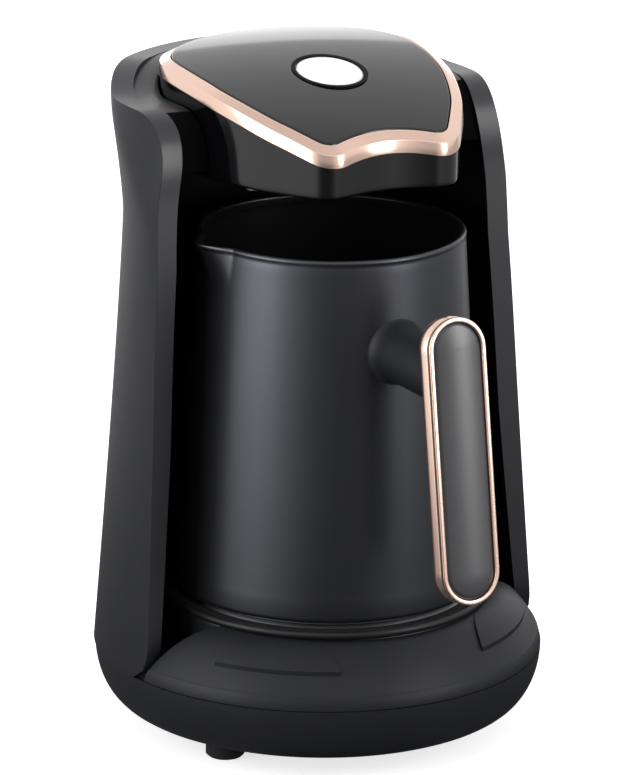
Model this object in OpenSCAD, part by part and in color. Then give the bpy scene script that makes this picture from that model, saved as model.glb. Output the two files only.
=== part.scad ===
// Electric Turkish coffee maker: a round base with a hot plate, a C-shaped shell with a
// head over it, and a jug that slides out to the front by its upright grip.
// Z is up, the jug's handle points to -Y, millimetres.

/* [Base] */
// Outside radius of the base at the seam between tray and cover
base_r = 75.7; // [73:0.1:80]
// Height of that seam
seam_z = 28; // [26:0.5:30]
// Height of the tray's flat underside
tray_z = 8; // [6:0.5:9]
// Radius of the tray's flat underside
tray_flat_r = 63; // [61:0.5:66]
// Wall of the tray
tray_wall = 2.4; // [2:0.1:3]
// Wall of the cover
cover_wall = 2.6; // [2:0.1:3]
// Height of the cover's flat top, round the seat
cover_top_z = 47.8; // [46:0.1:49]
// Radius at which the cover's dome starts to fall
dome_start_r = 55; // [53:0.5:58]
// Height of the upright band under the dome
dome_band_h = 4; // [3:0.5:5]
// How far behind the middle of the base the dome ends, negative is in front
dome_end_y = -15.5; // [-18:0.5:-12]
// Angle of each arched pad from straight ahead
pad_angle = 40; // [36:1:44]
// Radius of a pad's arch
pad_arch_r = 30; // [26:0.5:34]
// Radius from the middle of the base to a pad's outer edge, and to the top of its arch
pad_edge_r = 70; // [69:0.5:71]
pad_top_r = 58; // [57:0.5:60]
// Height that a pad stands proud of the dome at its outer edge
pad_rise = 2.4; // [1.5:0.1:3]

/* [Feet] */
// Radius of a foot
foot_r = 6.5; // [5.5:0.1:7.5]
// How far inside the base's seam the feet stand
foot_inset = 24.3; // [22:0.1:27]
// Angle of the front feet from straight ahead
foot_front_angle = 65; // [60:1:70]
// Angle of the rear feet from straight ahead
foot_rear_angle = 130; // [125:1:135]
// Radius of the stem that plugs each foot into the tray
foot_stem_r = 2.6; // [2:0.1:3]

/* [Shell] */
// How far the shell's foot stands out over the base
shell_overhang = 0.5; // [0.2:0.1:1.5]
// Radius of the shell at its waist
waist_r = 66.8; // [66:0.1:69]
// Height of the waist
waist_z = 178; // [172:1:184]
// Height of the shell's top rim over the head's lower edge
rim_rise = 28.5; // [27.5:0.5:29.5]
// How much lower the rim is at the front of each wing
rim_drop = 8; // [6:0.5:9]
// How much wider than the waist the top rim is at the back
rim_flare = 5.7; // [3:0.1:6]
// Radius that the wings' tips curl in to at the top, and how far back its centre is
curl_r = 62.8; // [62.4:0.1:63.6]
curl_back = 18; // [16:0.5:20]
// Thickness of the shell's skin
skin = 2.6; // [2:0.1:3]
// Width of the flange that turns in along the shell's front edge
flange_w = 7.4; // [7:0.1:8]
// Width of that flange at the bottom
flange_low_w = 5.4; // [5.3:0.1:6]
// Depth of that flange from front to back
flange_d = 3; // [2.5:0.1:4]
// Front edge of the shell at the top of its straight part
edge_top_y = -6.5; // [-8:0.5:-5]
// Front edge of the shell at the bottom of its straight part
edge_low_y = -17; // [-18:0.5:-15]
// Height and depth of the shell's round top front corner
corner_h = 22; // [20:0.5:24]
corner_d = 20.5; // [19:0.5:22]
// Wall of the liner
liner_wall = 1.6; // [1.4:0.1:1.7]

/* [Head] */
// Height of the head's underside
head_z = 193.5; // [191:0.5:196]
// Radius of the head's round front
head_r = 45.7; // [45:0.1:46.5]
// Half the width of the head where its sides meet its back
head_half_w = 47.3; // [46.8:0.1:48]
// Radius of the head's back
head_back_r = 57.4; // [56:0.1:57.6]
// Distance of each front corner from the middle, and its radius
lobe_x = 19.5; // [18:0.5:21]
lobe_r = 8.5; // [7.5:0.5:9.5]
// Depth of the two front corners ahead of the middle of the base
lobe_front = 42.6; // [41.8:0.1:43.2]
// Depth of the hollow between them
notch_front = 39.6; // [39.2:0.1:40]
// Wall of the head
head_wall = 2.4; // [2:0.1:3]
// Height of the lid's highest point over the head's lower edge
lid_rise = 35.4; // [34.5:0.1:36.5]
// Radius of the lid's front-to-back curve
lid_spine_r = 165; // [160:1:175]
// Radius of the lid's side-to-side curve
lid_crown_r = 460; // [440:5:500]
// How far behind the middle of the base the lid is highest
lid_peak_y = 33; // [30:0.5:36]
// Thickness of the lid panel
lid_t = 2.6; // [2:0.1:3]
// Width of the trim, seen from above
trim_w = 4.2; // [3.8:0.1:4.6]
// Height of the trim
trim_h = 5.2; // [4.6:0.1:6]

/* [Button] */
// Radius of the button
button_r = 11.25; // [10.5:0.05:12]
// Travel of the button
button_travel = 1.5; // [1:0.1:1.8]
// How far behind the middle of the base the button is, negative is in front
button_y = -2; // [-4:0.5:0]
// Wall of the well that guides the button
well_wall = 1.2; // [1:0.1:1.4]
// Depth of the well's floor under the lid
well_depth = 11; // [10.5:0.1:12]

/* [Jug] */
// Distance of the jug's axis ahead of the middle of the base
jug_offset = 5; // [4.6:0.1:5.4]
// Radius of the jug at its rim
jug_rim_r = 44.5; // [43.5:0.1:45]
// Radius of the jug at its foot
jug_foot_r = 52.6; // [52:0.1:52.8]
// Height of the jug's rim
jug_rim_z = 172; // [168:0.5:174]
// Wall of the jug
jug_wall = 1.4; // [1.2:0.1:1.8]
// Reach of the spout past the rim
spout_reach = 5.2; // [4:0.1:6]
// Height of the spout
spout_h = 13; // [11:0.5:15]

/* [Handle] */
// Height of the neck's axis
neck_z = 142; // [139:0.5:144]
// Radius of the neck
neck_r = 9.4; // [9:0.1:10]
// Width, length and depth of the grip
grip_w = 21; // [20:0.1:23]
grip_l = 93.5; // [90:0.5:98]
grip_d = 9.5; // [9:0.1:11]
// Lean of the grip from upright
grip_tilt = 9.7; // [8:0.1:11]
// Distance of the grip's middle from the jug's axis, and its height
grip_reach = 90.2; // [88:0.1:92]
grip_z = 117.1; // [115:0.1:119]
// Width of the trim's outer frame, of the dark line in it, and of its inner frame
frame_w = 1.1; // [1:0.05:1.2]
line_w = 0.3; // [0.25:0.05:0.4]
bezel_w = 1; // [0.9:0.05:1.1]

/* [Hot plate] */
// Radius of the hot plate
plate_r = 49.6; // [49:0.1:50]
// Height of its top
plate_z = 50.2; // [50.1:0.05:50.3]
// Thickness of the plate
plate_t = 6.7; // [6:0.1:7.4]
// Radius of the heating element's ring and of its tube
element_r = 35; // [33:0.5:37]
element_tube_r = 3.6; // [3.2:0.1:4]
// Radius of the rounded ring round the seat, and of its section
seat_ring_r = 54.6; // [54.5:0.05:54.9]
seat_section_r = 1.3; // [1.2:0.05:1.4]

/* [Electrics] */
// Size of the power board
power_board = [66, 40, 1.6];
// Height of the power board's underside
power_board_z = 14; // [13:0.5:15]
// Size of the control board
control_board_size = [56, 34, 1.6];
// Radius of the hole in the cord gland
gland_bore_r = 3.5; // [3:0.1:4]
// Height of the cord gland's axis
gland_z = 20; // [19:0.5:21]

/* [Hidden] */

// Clearance where two fixed pieces meet, round a moving piece, and a cut's overrun
gap = 0.2;
running = 0.3;
over = 1;
$fn = 96;

// Points along a rounded bowl or dome, and along the shell
bowl_steps = 14;
shell_steps = 11;
flare_steps = 8;
corner_steps = 10;
corner_power = 2.5;
ramp_start_y = 24;
ramp_end_y = 49;
foot_corner_d = 7;
foot_corner_h = 11;
cone_power = 1.2;
flare_power = 1.3;
curl_z = 165;
curl_low_r = 71.5;
curl_low_slope = 0.12;
curl_power = 1.7;

// Radius of the shell's foot, and radii that keep their distance from the base's rim
shell_base_r = base_r + shell_overhang;

// Middle of the base, set so that the origin is below the middle of the whole object
frame_lip = 0.4;
grip_front = jug_offset + grip_reach + grip_l / 2 * sin(grip_tilt) + frame_lip * cos(grip_tilt);
base_y = (grip_front - shell_base_r) / 2;

// Heights of the shell's rim and of the lid
rim_z = head_z + rim_rise;
rim_front_z = rim_z - rim_drop;
lid_z = head_z + lid_rise;

// Heights inside the base
tray_floor_z = tray_z + tray_wall;
cover_floor_z = seam_z + cover_wall;
lip_wall = 1.6;
lip_h = 2.4;
lip_r = base_r - tray_wall - 2.5 * gap;
jug_bottom_z = plate_z + running;
plate_under_z = plate_z - plate_t;
tub_top_z = cover_top_z + 0.3;
ledge_z = cover_top_z - 1;
tub_r = seat_ring_r - seat_section_r;
tub_wall_r = seat_ring_r + 1.8;
ledge_r = plate_r + 0.9;
dome_band_z = seam_z + dome_band_h;
dome_edge_r = base_r - 1.1;
bracket_t = 1.4;
bracket_w = 14;
bracket_reach = 54;
bracket_hole_x = 20;
plate_boss_r = 4.5;
floor_hole_r = 47.5;

// Screws: clearance hole, thread and head radii, and head height
screw_hole_r = 1.8;
screw_r = 1.5;
screw_head_r = 3.1;
screw_head_h = 2;
base_screw_inset = 18.7;
base_screw_pitch_r = base_r - base_screw_inset;
foot_pitch_r = base_r - foot_inset;
base_screw_angles = [30, 98, 165, -30, -98, -165];
base_post_r = 4.2;
base_post_z = 20;
base_screw_len = 14;
small_screw_r = 1.1;
small_head_r = 2.1;
small_head_h = 1.4;

// Boards
board_post_r = 3;
board_y = 30;
board_hole_inset = 4;
relay_size = [28, 12.5, 12];
terminal_size = [16, 9, 10];
terminal_front = 14;
terminal_holes = [3.5, 12.5];
terminal_hole_z = 4;
terminal_hole_r = 1.6;
relay_place = [-23, 3];
capacitor_place = [14, 10];
capacitor_r = 5;
capacitor_h = 11;

// Lid and head
lid_tilt = asin((lid_peak_y - button_y) / lid_spine_r);
button_z = lid_z - lid_spine_r + lid_spine_r * cos(lid_tilt);
underside_t = 2.3;
trim_proud = 0.6;
shroud_rise = 4.5;
shroud_z = head_z + shroud_rise;
shroud_wall = 2.2;
shroud_set_back = 0.8;
head_post_r = 3.6;
head_post_h = 9;
head_posts = [[34, -14], [-34, -14], [34, 30], [-34, 30]];
sensor_y = -20;
sensor_r = 6;
sensor_size = [18, 11, 5];
notch_r = ((lobe_x * lobe_x) + pow(notch_front - lobe_front + lobe_r, 2) - lobe_r * lobe_r)
    / (2 * (lobe_r - (notch_front - lobe_front + lobe_r)));

// Button and switch, measured down from the lid along the button's axis
button_proud = 0.5;
button_cap_t = 3;
button_skirt = 7;
button_wall = 1.6;
button_dome_r = 120;
stem_r = 2;
stem_end = well_depth + 2.6;
plunger_r = 1.7;
plunger_hole_r = plunger_r + 0.06;
plunger_top = stem_end + running;
plunger_len = 3.8;
switch_top = plunger_top + button_travel + 0.4;
switch_size = [12, 12, 4.4];
switch_seat = switch_top + switch_size[2];
chip_place = [-20, -6];
chip_size = [10, 10, 1.6];
buzzer_x = 15;
buzzer_r = 6;
buzzer_h = 6.5;
control_posts = [[24, 13], [-24, 13], [24, -13], [-24, -13]];
control_post_r = 2.8;
spring_r = 7.5;
spring_wire_r = 0.5;
spring_turns = 4;
spring_steps = 14;
spring_sides = 8;

// Jug and handle
jug_corner_r = 4;
disc_t = 1;
rim_bead_r = 1.1;
rim_bead_out = 0.2;
spout_tip_r = 1.4;
spout_tip_rise = 0.8;
spout_lip_h = 1.5;
spout_root = 3.5;
spout_root_r = 1;
spout_half_w = 9.5;
spout_keel_r = 1.2;
neck_flare_r = 12.5;
neck_flare_d = 5;
stud_r = 5;
stud_len = 8.6;
stud_seat = 0.42;
stud_floor = 2.5;
stud_root = 6;
handle_screw_r = 2;
handle_head_r = 4;
handle_head_h = 2.4;
panel_t = 1.8;
frame_depth = 5;
grip_pocket = 2;
bezel_lip = 0.6;
neck_join = 1;

// ---------- shared shapes ----------

module on_base() translate([0, base_y, 0]) children();
module on_jug() translate([0, base_y - jug_offset, 0]) children();
module on_lid() translate([0, base_y + button_y, button_z]) rotate([lid_tilt, 0, 0]) children();
// Grip: X across, Y up along it, Z out of its face
module on_grip() on_jug() translate([0, -grip_reach, grip_z]) rotate([90 - grip_tilt, 0, 0])
    children();
// A place at an angle from straight ahead, on a circle about the base's axis
module at(angle, radius) rotate([0, 0, angle]) translate([0, -radius, 0]) children();

function shell_r(z) = z < waist_z
    ? waist_r + (shell_base_r - waist_r) * pow((waist_z - z) / (waist_z - seam_z), cone_power)
    : waist_r + rim_flare * pow((z - waist_z) / (rim_z - waist_z), flare_power);
function flange(z) = min(flange_w,
    flange_low_w + (flange_w - flange_low_w) * (z - seam_z) / (waist_z - seam_z) * 2);
function shell_in_r(z) = shell_r(z) - flange(z);
// Radius about the curl's centre: it only trims the wings' tips, above curl_z
function trim_r(z) = z < curl_z ? curl_low_r + curl_low_slope * (curl_z - z)
    : curl_low_r - (curl_low_r - curl_r) * pow((z - curl_z) / (rim_z - curl_z), curl_power);
function levels(low, high) = concat(
    [for (i = [0 : shell_steps]) low + (waist_z - low) * i / shell_steps],
    [for (i = [1 : flare_steps]) waist_z + (high - waist_z) * i / flare_steps]);

// Front outline of the shell in the Y-Z plane, moved in by d
function side_outline(d) = concat(
    [for (i = [0 : corner_steps]) let (a = 90 * i / corner_steps)
        [edge_low_y + d + foot_corner_d * (1 - sin(a)),
         seam_z + foot_corner_h * (1 - cos(a))]],
    [for (i = [0 : corner_steps]) let (a = 90 * i / corner_steps)
        [edge_top_y + corner_d - (corner_d - d) * pow(cos(a), 2 / corner_power),
         rim_front_z - corner_h + (corner_h - d) * pow(sin(a), 2 / corner_power)]],
    [for (i = [0 : corner_steps]) let (t = i / corner_steps)
        [ramp_start_y + (ramp_end_y - ramp_start_y) * t,
         rim_front_z - d + (rim_z - rim_front_z) * (1 - cos(180 * t)) / 2]],
    [[shell_base_r + over, rim_z - d], [shell_base_r + over, seam_z]]);
module side_slab(d) rotate([90, 0, 90]) translate([0, 0, -shell_base_r - over])
    linear_extrude(2 * (shell_base_r + over)) polygon(side_outline(d));

// Solids inside the shell's outer face, less cut, and inside its flange, plus cut
module shell_round(cut) intersection() {
    rotate_extrude() polygon(concat([[0, seam_z]],
        [for (z = levels(seam_z, rim_z)) [shell_r(z) - cut, z]], [[0, rim_z]]));
    translate([0, curl_back, 0]) rotate_extrude() polygon(concat([[0, seam_z]],
        [for (z = curl_levels()) [trim_r(z) - cut, z]], [[0, rim_z]]));
}
module liner_round(cut) intersection() {
    rotate_extrude() polygon(concat([[0, seam_z]],
        [for (z = levels(seam_z, rim_z)) [shell_in_r(z) + cut, z]], [[0, rim_z]]));
    translate([0, curl_back, 0]) rotate_extrude() polygon(concat([[0, seam_z]],
        [for (z = curl_levels()) [trim_r(z) - flange_w + cut, z]], [[0, rim_z]]));
}
function curl_levels() = concat([seam_z],
    [for (i = [0 : flare_steps]) curl_z + (rim_z - curl_z) * i / flare_steps]);

// Everything below the lid's crowned surface, lowered by d
module under_lid(d) translate([0, lid_peak_y, lid_z - lid_spine_r]) rotate([0, 90, 0])
    rotate_extrude($fn = 240) intersection() {
        translate([lid_spine_r - lid_crown_r, 0]) circle(lid_crown_r - d, $fn = 720);
        translate([0, -base_r]) square([lid_spine_r + over, 2 * base_r]);
    }

// Outline of the head from above, moved in by d
head_side_x = head_r + (head_half_w - head_r) * head_back_r
    / sqrt(head_back_r * head_back_r - head_half_w * head_half_w);
module head_outline(d) difference() {
    union() {
        intersection() {
            circle(head_r - d);
            translate([-head_r, lobe_r - lobe_front]) square([2 * head_r, head_r]);
        }
        intersection() {
            circle(head_back_r - d);
            polygon([[d - head_r, 0], [head_r - d, 0], [head_side_x - d, head_back_r],
                [d - head_side_x, head_back_r]]);
        }
        for (s = [-1, 1]) translate([s * lobe_x, lobe_r - lobe_front]) circle(lobe_r - d);
        translate([-lobe_x, d - lobe_front]) square([2 * lobe_x, lobe_front]);
        polygon(head_cheeks(d));
    }
    translate([0, -notch_front - notch_r]) circle(notch_r + d, $fn = 240);
}
// Straight cheeks that touch the front corners and the round front, tucked in by a hair
lobe_c = [lobe_x, lobe_r - lobe_front];
cheek_a = atan2(lobe_x, lobe_front - lobe_r) + acos((head_r - lobe_r) / norm(lobe_c));
cheek_n = [sin(cheek_a), -cos(cheek_a)];
tuck = 0.01;
function head_cheeks(d) = let (p = lobe_c + (lobe_r - d - tuck) * cheek_n,
        q = (head_r - d - tuck) * cheek_n)
    [p, q, [-q[0], q[1]], [-p[0], p[1]]];
module head_prism(d, low, high) translate([0, 0, low]) linear_extrude(high - low) head_outline(d);

module ring(r_in, r_out, low, high) rotate_extrude()
    translate([r_in, low]) square([r_out - r_in, high - low]);

// Stadium outline of the grip, moved in by d
module stadium(d) {
    for (s = [-1, 1]) translate([0, s * (grip_l - grip_w) / 2]) circle(grip_w / 2 - d);
    translate([d - grip_w / 2, (grip_w - grip_l) / 2]) square([grip_w - 2 * d, grip_l - grip_w]);
}

// Pan-head screw with its head's seat at the origin, pointing up
module screw(shank_r, len, head_r, head_h) {
    cylinder(r = shank_r, h = len, $fn = 24);
    translate([0, 0, -head_h]) cylinder(r1 = head_r * 0.85, r2 = head_r, h = head_h, $fn = 32);
}

// ---------- base ----------

function bowl(wall) = [for (i = [0 : bowl_steps]) let (a = 90 * i / bowl_steps)
    [tray_flat_r - wall + (base_r - tray_flat_r) * cos(a),
     seam_z - (seam_z - tray_z - wall) * sin(a)]];

module base_tray() color("#26262a") on_base() difference() {
    union() {
        difference() {
            rotate_extrude($fn = 180) polygon(concat([[0, seam_z]], bowl(0), [[0, tray_z]]));
            rotate_extrude($fn = 180) polygon(concat([[0, seam_z + over]],
                [[base_r - tray_wall, seam_z + over]], bowl(tray_wall), [[0, tray_floor_z]]));
        }
        for (a = base_screw_angles) at(a, base_screw_pitch_r)
            translate([0, 0, tray_z]) cylinder(r = base_post_r, h = base_post_z - tray_z);
        for (p = board_holes()) translate([p[0], p[1], tray_z])
            cylinder(r = board_post_r, h = power_board_z - tray_z);
        for (a = foot_angles()) at(a, foot_pitch_r)
            translate([0, 0, tray_z])
                cylinder(r = foot_stem_r + foot_boss_wall, h = foot_plug_h + tray_wall);
        gland_seat();
    }
    for (a = base_screw_angles) at(a, base_screw_pitch_r) {
        translate([0, 0, tray_z - over]) cylinder(r = screw_hole_r, h = base_post_z);
        translate([0, 0, tray_z - over])
            cylinder(r = screw_head_r + gap, h = screw_head_h + over + gap);
    }
    for (p = board_holes()) translate([p[0], p[1], tray_floor_z])
        cylinder(r = small_screw_r, h = power_board_z);
    for (a = foot_angles()) at(a, foot_pitch_r)
        translate([0, 0, tray_z - over]) cylinder(r = foot_stem_r + gap / 2, h = foot_plug_h + over);
    translate([0, base_r - gland_len - gland_inner, gland_z]) rotate([-90, 0, 0])
        cylinder(r = gland_r + gap / 2, h = gland_len + gland_inner + over);
}
foot_plug_h = 3;
foot_chamfer = 0.8;
foot_boss_wall = 2;
function foot_angles() = [foot_front_angle, -foot_front_angle, foot_rear_angle, -foot_rear_angle];
function board_holes() = [for (sx = [-1, 1], sy = [-1, 1])
    [sx * (power_board[0] / 2 - board_hole_inset),
     board_y + sy * (power_board[1] / 2 - board_hole_inset)]];

// Boss in the tray's rear wall that holds the cord gland
gland_r = 5.5;
gland_len = 6;
gland_inner = 7;
gland_back = 2.2;
gland_flange_t = 3;
gland_flange_r = 6.8;
gland_boss_wall = 2.2;
module gland_boss(d) translate([0, base_r - gland_len - d, gland_z]) rotate([-90, 0, 0])
    cylinder(r = gland_r + gland_boss_wall + d, h = gland_len + over + d);
module gland_seat() intersection() {
    gland_boss(0);
    rotate_extrude($fn = 180) polygon(concat([[0, seam_z]], bowl(0), [[0, tray_z]]));
}

module foot(angle) color("#1b1b1d") on_base() at(angle, foot_pitch_r) {
    difference() {
        union() {
            cylinder(r1 = foot_r - foot_chamfer, r2 = foot_r, h = foot_chamfer);
            translate([0, 0, foot_chamfer]) cylinder(r = foot_r, h = tray_z - foot_chamfer);
            cylinder(r = foot_stem_r, h = tray_z + foot_plug_h - gap);
        }
        translate([0, 0, -over]) cylinder(r = foot_r / 3, h = over + foot_chamfer);
    }
}
module foot_front_left() foot(-foot_front_angle);
module foot_front_right() foot(foot_front_angle);
module foot_rear_left() foot(-foot_rear_angle);
module foot_rear_right() foot(foot_rear_angle);

function dome_z(r) = dome_band_z
    + (cover_top_z - dome_band_z) * (1 - pow((r - dome_start_r) / (dome_edge_r - dome_start_r), 2));
function dome(d) = concat([[0, cover_top_z - d]],
    [for (i = [0 : bowl_steps]) let (r = dome_start_r + (dome_edge_r - dome_start_r)
        * sin(90 * i / bowl_steps)) [r - d, dome_z(r) - d]],
    [[base_r - d, seam_z]], [[0, seam_z]]);
module dome_solid(d) rotate_extrude($fn = 180) polygon(dome(d));
module in_front_of(y) translate([-base_r - over, -base_r - over, 0])
    cube([2 * (base_r + over), base_r + over + y, rim_z]);

// Arched pad: it leaves the dome at the top of its arch and stands proud at its outer edge
module pad(angle) rotate([0, 0, angle]) intersection() {
    translate([0, -pad_top_r - pad_arch_r, seam_z]) cylinder(r = pad_arch_r, h = cover_top_z);
    rotate_extrude($fn = 180) polygon(concat([[0, seam_z], [0, dome_z(pad_top_r)]],
        [for (i = [0 : pad_steps]) let (t = i / pad_steps, r = pad_top_r
            + (pad_edge_r - pad_top_r) * t) [r, dome_z(r) + pad_rise * t]],
        [[pad_edge_r, seam_z]]));
}
pad_steps = 6;

// Room that the wings take out of the cover
module wing_space() intersection() {
    side_slab(-gap);
    difference() {
        translate([0, 0, seam_z]) cylinder(r = base_r + 2 * over, h = rim_z);
        liner_round(-gap);
        intersection() {
            shell_round(skin + gap);
            side_slab(flange_d + gap);
        }
    }
}
module base_cover() color("#2b2b30") on_base() difference() {
    union() {
        // flat floor inside the shell, dome and pads in front, all notched round the wings
        difference() {
            union() {
                cylinder(r = shell_r(cover_floor_z) - skin - gap, h = cover_floor_z);
                // lip that drops inside the tray
                ring(lip_r - lip_wall, lip_r, seam_z - lip_h, cover_floor_z);
                intersection() {
                    union() {
                        dome_solid(0);
                        for (s = [-1, 1]) pad(s * pad_angle);
                    }
                    in_front_of(dome_end_y);
                }
            }
            wing_space();
        }
        translate([0, -jug_offset, seam_z]) cylinder(r = tub_wall_r, h = tub_top_z - seam_z);
        for (a = base_screw_angles) at(a, base_screw_pitch_r) translate([0, 0, base_post_z + gap])
            cylinder(r = base_post_r, h = seam_z - base_post_z);
    }
    // everything under the floor but the lip and the posts
    difference() {
        translate([0, 0, -over]) cylinder(r = base_r + over, h = seam_z + over);
        ring(lip_r - lip_wall, lip_r, seam_z - lip_h, seam_z);
        for (a = base_screw_angles) at(a, base_screw_pitch_r) translate([0, 0, base_post_z + gap])
            cylinder(r = base_post_r, h = seam_z);
    }
    gland_boss(gap);
    // space under the dome
    intersection() {
        difference() {
            dome_solid(cover_wall);
            translate([0, -jug_offset, 0]) cylinder(r = tub_wall_r, h = rim_z);
            cylinder(r = base_r + over, h = cover_floor_z);
        }
        in_front_of(dome_end_y - cover_wall);
    }
    // tub for the hot plate, its ledge, and the ring's groove
    translate([0, -jug_offset, 0]) {
        translate([0, 0, seam_z - over]) cylinder(r = floor_hole_r, h = cover_top_z);
        translate([0, 0, cover_floor_z]) cylinder(r = ledge_r, h = cover_top_z);
        translate([0, 0, ledge_z]) cylinder(r = tub_r, h = cover_top_z);
        rotate_extrude() translate([seat_ring_r, seat_ring_z]) circle(seat_section_r + gap / 4);
    }
    for (a = base_screw_angles) at(a, base_screw_pitch_r)
        translate([0, 0, 0]) cylinder(r = screw_r, h = seam_z - gap);
    // two holes at the back for the cable to the head
    for (s = [-1, 1]) at(180, shell_r(cover_floor_z) - cable_hole_inset)
        translate([s * cable_hole_x, 0, seam_z - over]) cylinder(r = cable_hole_r, h = cover_floor_z);
}
cable_hole_inset = 6;
cable_hole_x = 9;
cable_hole_r = 2.2;
seat_ring_drop = 0.5;
seat_ring_z = jug_bottom_z - seat_ring_drop - seat_section_r;

module seat_ring() color("#3a3a40") on_jug()
    rotate_extrude($fn = 180) translate([seat_ring_r, seat_ring_z]) circle(seat_section_r, $fn = 32);

module base_screws() color("#b9bcc0") on_base() for (a = base_screw_angles)
    at(a, base_screw_pitch_r) translate([0, 0, tray_z + screw_head_h + gap])
        screw(screw_r - gap / 4, base_screw_len, screw_head_r, screw_head_h);

// ---------- hot plate ----------

module hot_plate() color("#8b8d92") on_jug() difference() {
    union() {
        translate([0, 0, plate_under_z]) rotate_extrude($fn = 180)
            polygon([[0, 0], [plate_r - plate_chamfer, 0], [plate_r, plate_chamfer],
                [plate_r, plate_t - plate_chamfer], [plate_r - plate_chamfer, plate_t],
                [0, plate_t]]);
        for (s = [-1, 1]) translate([s * bracket_hole_x, 0, seam_z])
            cylinder(r = plate_boss_r, h = plate_under_z - seam_z + over);
    }
    for (s = [-1, 1]) translate([s * bracket_hole_x, 0, seam_z - over])
        cylinder(r = screw_r, h = plate_tap_depth + over);
    translate([0, 0, plate_under_z - element_tube_r + element_sink]) rotate_extrude()
        translate([element_r, 0]) circle(element_tube_r + gap / 4);
}
element_sink = 1.6;
plate_chamfer = 1;
plate_tap_depth = 10;
gasket_drop = 0.8;

module plate_gasket() color("#2a2a2a") on_jug()
    ring(plate_r + gap, tub_r - gap, ledge_z, plate_z - gasket_drop);

module heating_element() color("#9a9490") on_jug() {
    translate([0, 0, plate_under_z - element_tube_r + element_sink]) rotate([0, 0, 90 + pin_angle])
        rotate_extrude(angle = 360 - 2 * pin_angle) translate([element_r, 0])
            circle(element_tube_r, $fn = 32);
    for (a = [-pin_angle, pin_angle]) rotate([0, 0, 90 + a]) translate([element_r, 0, 0])
        translate([0, 0, element_pin_z]) cylinder(r = element_pin_r,
            h = plate_under_z - element_tube_r + element_sink - element_pin_z, $fn = 32);
}
element_pin_z = 30;
element_pin_r = element_tube_r - 1.4;
pin_angle = 10;

module plate_bracket() color("#a9abae") on_jug() difference() {
    translate([-bracket_reach, -bracket_w / 2, seam_z - bracket_t])
        cube([2 * bracket_reach, bracket_w, bracket_t]);
    for (s = [-1, 1]) translate([s * bracket_hole_x, 0, seam_z - bracket_t - over])
        cylinder(r = screw_hole_r, h = bracket_t + 2 * over);
}
module bracket_screws() color("#b9bcc0") on_jug() for (s = [-1, 1])
    translate([s * bracket_hole_x, 0, seam_z - bracket_t])
        screw(screw_r - gap / 4, bracket_screw_len, screw_head_r, screw_head_h);
bracket_screw_len = 9;

thermostat_r = 8;
thermostat_h = 10;
module thermostat() color("#d8d4c8") on_jug() {
    translate([0, 0, plate_under_z - thermostat_h]) cylinder(r = thermostat_r, h = thermostat_h);
    for (s = [-1, 1]) translate([s * tab_x - tab[0] / 2, -tab[1] / 2, plate_under_z - thermostat_h - tab_h])
        cube(tab);
}
tab_x = 4;
tab = [0.8, 6.4, 4.5];
tab_h = 4;
fuse_r = 2;
fuse_len = 14;
fuse_y = 17;
lead_len = 6;
lead_r = 0.5;
module thermal_fuse() color("#c8b070") on_jug()
    translate([-fuse_len / 2, fuse_y, plate_under_z - fuse_r]) rotate([0, 90, 0]) {
        cylinder(r = fuse_r, h = fuse_len, $fn = 32);
        translate([0, 0, -lead_len]) cylinder(r = lead_r, h = fuse_len + 2 * lead_len, $fn = 16);
    }

// ---------- power electrics ----------

module power_board() color("#2f6b3a") on_base() difference() {
    translate([-power_board[0] / 2, board_y - power_board[1] / 2, power_board_z]) cube(power_board);
    for (p = board_holes()) translate([p[0], p[1], power_board_z - over])
        cylinder(r = small_screw_r + gap, h = power_board[2] + 2 * over);
}
board_top_z = power_board_z + power_board[2];
module board_screws() color("#b9bcc0") on_base() for (p = board_holes())
    translate([p[0], p[1], board_top_z]) rotate([180, 0, 0])
        screw(small_screw_r - gap / 4, board_top_z - tray_floor_z - 2 * gap, small_head_r, small_head_h);
module relay() color("#30343c") on_base()
    translate([relay_place[0], board_y + relay_place[1], board_top_z]) cube(relay_size);
module capacitor() color("#3b3f55") on_base()
    translate([capacitor_place[0], board_y + capacitor_place[1], board_top_z])
        cylinder(r = capacitor_r, h = capacitor_h);
module terminal_block() color("#3f7d5a") on_base()
    translate([-terminal_size[0] / 2, board_y - terminal_front, board_top_z]) difference() {
        cube(terminal_size);
        for (x = terminal_holes) translate([x, -over, terminal_hole_z]) rotate([-90, 0, 0])
            cylinder(r = terminal_hole_r, h = terminal_size[1] + 2 * over, $fn = 32);
    }

module cord_gland() color("#202022") on_base()
    translate([0, base_r - gland_len - gland_inner, gland_z]) rotate([-90, 0, 0]) difference() {
        union() {
            cylinder(r = gland_r, h = gland_len + gland_inner - gland_back);
            cylinder(r = gland_flange_r, h = gland_flange_t);
        }
        translate([0, 0, -over]) cylinder(r = gland_bore_r, h = gland_len + gland_inner + 2 * over);
    }

// ---------- shell ----------

module outer_shell() color("#2c2c31") on_base() difference() {
    intersection() {
        difference() {
            shell_round(0);
            liner_round(0);
        }
        side_slab(0);
    }
    intersection() {
        shell_round(skin);
        side_slab(flange_d);
    }
}

module inner_liner() color("#1c1c1f") on_base() intersection() {
    difference() {
        liner_round(liner_wall);
        liner_round(0);
    }
    side_slab(flange_d + gap);
    translate([0, 0, cover_floor_z + gap]) cylinder(r = base_r, h = rim_z - cover_floor_z);
}

cable_angle = 12;
cable_t = 0.5;
module head_cable() color("#77797d") on_base() rotate([0, 0, 90 - cable_angle / 2])
    rotate_extrude(angle = cable_angle) polygon(concat(
        [for (z = levels(cover_floor_z + 1, shroud_z)) [shell_r(z) - skin - gap, z]],
        [for (i = [shell_steps + flare_steps : -1 : 0])
            let (z = levels(cover_floor_z + 1, shroud_z)[i]) [shell_r(z) - skin - gap - cable_t, z]]));

// ---------- head ----------

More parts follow.
